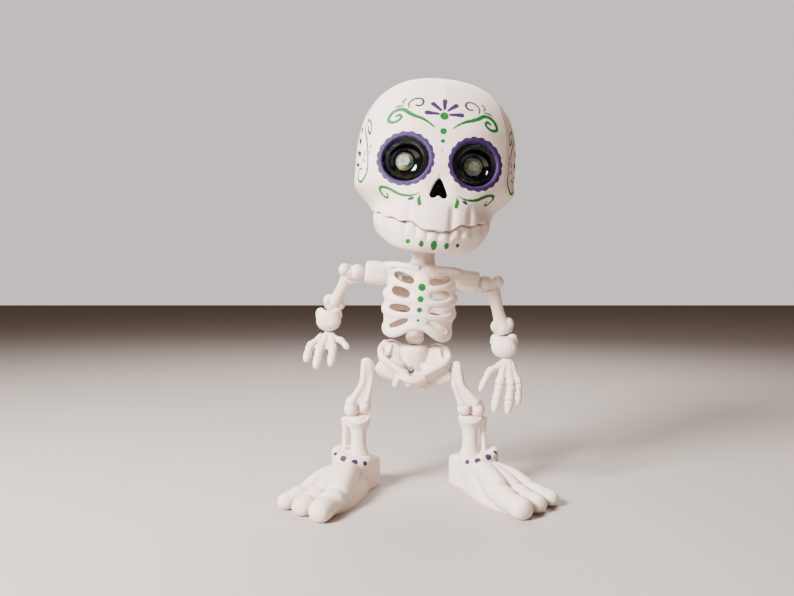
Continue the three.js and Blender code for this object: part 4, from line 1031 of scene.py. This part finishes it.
leg_look = bone_paint("leg_paint", "Z", (), 0.00005)
thigh = fused([
    stack([[0, 0, 0, 1.1, 1.3], [-0.8, -0.1, 0, 1.9, 1.9], [-3, -0.4, 0, 2.5, 2.4], [-6, -0.3, 0, 2.85, 2.5],
           [-9, 0.5, 0, 2.8, 2.45], [-12.4, 2.2, 0, 3.5, 2.7], [-15.4, 3.7, 0, 4.3, 2.9], [-17.2, 4.1, 0.2, 3.6, 2.4]]),
    limb([[0.6, -1.2, -1.2, 1.1], [0.9, -1.9, -5, 1.1], [1.7, -2.0, -9, 1.0], [4.2, -2.2, -12.6, 1.2],
          [6.2, -2.0, -15.6, 1.6]]),
    limb([[-1.6, -1.0, -4.6, 1.0], [-1.4, -1.7, -8, 0.9], [-0.4, -1.9, -12, 0.9], [0.9, -1.8, -15.4, 1.4]]),
    ball(KNUCKLES[0][0], [KNUCKLES[0][1], 3.2, KNUCKLES[0][1]]),
    ball(KNUCKLES[1][0], [KNUCKLES[1][1], 3.3, KNUCKLES[1][1]]),
    ball([6.2, -0.2, -16.2], [2.5, 2.9, 2.9]), ball([1.6, -0.2, -15.4], [2.3, 2.7, 2.8]),
], 0.24, 14, [limb([[4.0, -6, -18.4, 0.8], [4.0, -2.4, -18.1, 0.8], [4.0, -0.6, -17.8, 0.5]], side=(1, 0, 0), flat=2.3)])
for name, limb_set in SIDES.items():
    side = limb_set["side"]
    bone(f"thigh_{name}_painted", f"thigh_{name}", thigh, *limb_set["thigh"], leg_look, side)
    thigh_at, thigh_turn = limb_set["thigh"]
    tilt = math.radians(side * thigh_turn[1])
    knee_cuts = []
    for (x, y, z), radius in KNUCKLES:
        in_shin = np.array([x * math.cos(tilt) + z * math.sin(tilt), y, -x * math.sin(tilt) + z * math.cos(tilt)])
        shift = (np.array(thigh_at) - np.array(limb_set["shin"])) * [side, 1, 1]
        knee_cuts.append(ball(in_shin + shift, [radius + 0.35, 3.45, radius + 0.35]))
    shin = fused([
        stack([[-0.2, 0, 0, 3.7, 3.0], [1.0, 0, 0, 3.7, 3.05], [2.4, 0, 0, 3.05, 2.75], [5, 0, 0, 2.75, 2.6],
               [8.0, 0, 0, 2.8, 2.65], [10.2, 0, 0, 3.35, 3.1], [11.6, 0, -0.2, 4.05, 3.8], [13.4, 0, -0.2, 4.25, 4.0],
               [14.6, 0, -0.1, 4.15, 3.8]]),
        limb([[-3.9, -1.2, 14.5, 0.75], [-3.0, -3.0, 13.3, 0.75], [0, -3.9, 12.5, 0.75], [3.0, -3.0, 13.3, 0.75],
              [3.9, -1.2, 14.5, 0.75]], side=(0, 0, 1)),
        limb([[5.2, 0.5, -0.2, 1.25], [5.1, 0.5, 4, 1.1], [4.9, 0.6, 8.8, 1.1], [4.8, 0.6, 11.4, 1.5],
              [4.7, 0.6, 13.2, 1.75], [4.7, 0.6, 14.1, 1.1]]),
        limb([[1.4, 0.2, 11.2, 1.5], [3.0, 0.3, 11.5, 1.5], [4.6, 0.5, 12.0, 1.5]], side=(0, 1, 0)),
        limb([[1.6, 0.2, 0.6, 1.3], [3.4, 0.3, 0.5, 1.3], [5.2, 0.5, 0.6, 1.3]], side=(0, 1, 0)),
        limb([[0.1, 0.6, 12.0, 1.3], [0.1, 0.6, 14.6, 1.2], [0.1, 0.6, 16.4, 0.7]]),
    ], 0.24, 6, knee_cuts)
    bone(f"shin_{name}_painted", f"shin_{name}", shin, limb_set["shin"], (0, 0, 0), leg_look, side)


# Feet. Each is one big print: a heel block, a slanted collar with four purple dots round the
# ankle, an instep with three long ridges, and three toes with a knuckle and a tip each.
TOES = [dict(out=-8.6, reach=36.2, radius=4.1, height=7.3, ridge=4.4),
        dict(out=-0.2, reach=34.0, radius=3.7, height=6.7, ridge=3.4),
        dict(out=8.0, reach=31.4, radius=3.3, height=6.3, ridge=2.9)]
ANKLE_DOTS = [(4.3, -4.9, 13.6, 0.85), (0.4, -5.9, 12.7, 1.35), (-4.0, -5.0, 11.6, 1.2), (-6.6, -2.2, 10.8, 0.9)]
FOOT_ROWS = [[-3, -0.2, 5.2, 7.6], [3, -0.5, 7.2, 10.6], [10, -0.9, 8.6, 9.6], [16, -1.0, 9.6, 8.1],
             [22, -0.7, 9.9, 6.4], [27, -0.2, 8.8, 4.0]]


def instep():
    """Arches over the ground carried from ankle to toes: width and height by rows."""
    table = curve_through(FOOT_ROWS, 5)
    turn = np.linspace(0, np.pi, 41)
    across, up = np.cos(turn), np.maximum(0, np.sin(turn)) ** 0.62
    lean = table[:, 3:4] - 0.8 * (1 - across)
    ring = np.stack([table[:, 1:2] + table[:, 2:3] * across, np.broadcast_to(-table[:, :1], (len(table), 41)),
                     lean * up - 0.4], -1)
    return closed(ring)


def toe_parts(out, reach, radius, height, ridge):
    """A toe of two bulges, and behind it the ridge of its bone up the instep."""
    root = out * 0.78 - 0.3
    mid = height * 0.5
    toe = limb([[root, -19.5, mid + 0.5, radius * 0.72], [root + (out - root) * 0.2, -22.5, mid + 0.5, radius * 0.95],
                [root + (out - root) * 0.35, -24.6, mid + 0.2, radius * 1.04],
                [root + (out - root) * 0.55, -27.2, mid - 0.3, radius * 0.88],
                [root + (out - root) * 0.8, -reach + 4.6, mid - 0.4, radius * 1.0],
                [out, -reach + 2.4, mid - 0.6, radius * 0.93], [out, -reach + 1.1, mid - 0.8, radius * 0.76],
                [out, -reach + 0.35, mid - 0.9, radius * 0.48], [out, -reach, mid - 0.95, radius * 0.12]],
               side=(1, 0, 0), flat=0.88)
    bone_ridge = limb([[out * 0.22, -3.5, 8.6, ridge * 0.7], [out * 0.42, -9.0, 8.0, ridge * 0.86],
                       [out * 0.62, -14.5, 6.6, ridge * 0.95], [root, -20.0, mid + 1.2, ridge * 0.98],
                       [root * 1.02, -22.6, mid + 0.8, ridge * 0.7]], side=(1, 0, 0))
    return [toe, bone_ridge]


def collar():
    """A rounded cuff round the ankle whose top slants up outwards."""
    points, faces = stack([[5, 0.4, 0, 7.0, 6.0], [8, 0.4, 0, 7.15, 6.0], [12.0, 0.4, 0, 7.5, 6.0],
                           [13.0, 0.5, 0.2, 7.1, 5.6], [13.5, 0.6, 0.3, 6.4, 4.9]], 2.3)
    lifted = points.copy()
    lifted[:, 2] += np.where(points[:, 2] > 9, (points[:, 0] * 0.22 + points[:, 1] * 0.08)
                             * step(points[:, 2], 8, 12), 0)
    return lifted, faces


foot_parts = [instep(), collar(),
              stack([[-0.2, -0.6, 5.4, 5.6, 6.0], [1.2, -0.6, 5.4, 5.75, 6.1], [9.4, -0.6, 5.4, 5.7, 5.95],
                     [10.5, -0.6, 5.2, 5.0, 5.3], [10.8, -0.6, 5.2, 4.2, 4.6]], 4.2)]
for toe in TOES:
    foot_parts += toe_parts(**toe)
foot_look = bone_paint("foot_paint", "Z", ("purple",), 0.00007)
foot_points, foot_faces = fused(foot_parts, 0.3, 8)
foot_points[:, 2] = np.maximum(foot_points[:, 2], 0)
ankle_purple = np.full(len(foot_points), 9.0)
for x, y, z, radius in ANKLE_DOTS:
    gap = np.linalg.norm(foot_points - [x, y, z], axis=1) - radius
    ankle_purple = np.minimum(ankle_purple, gap)
for name, limb_set in SIDES.items():
    bone(f"foot_{name}_painted", f"foot_{name}", (foot_points, foot_faces), *limb_set["foot"], foot_look,
         limb_set["side"], inks={"purple": ankle_purple})
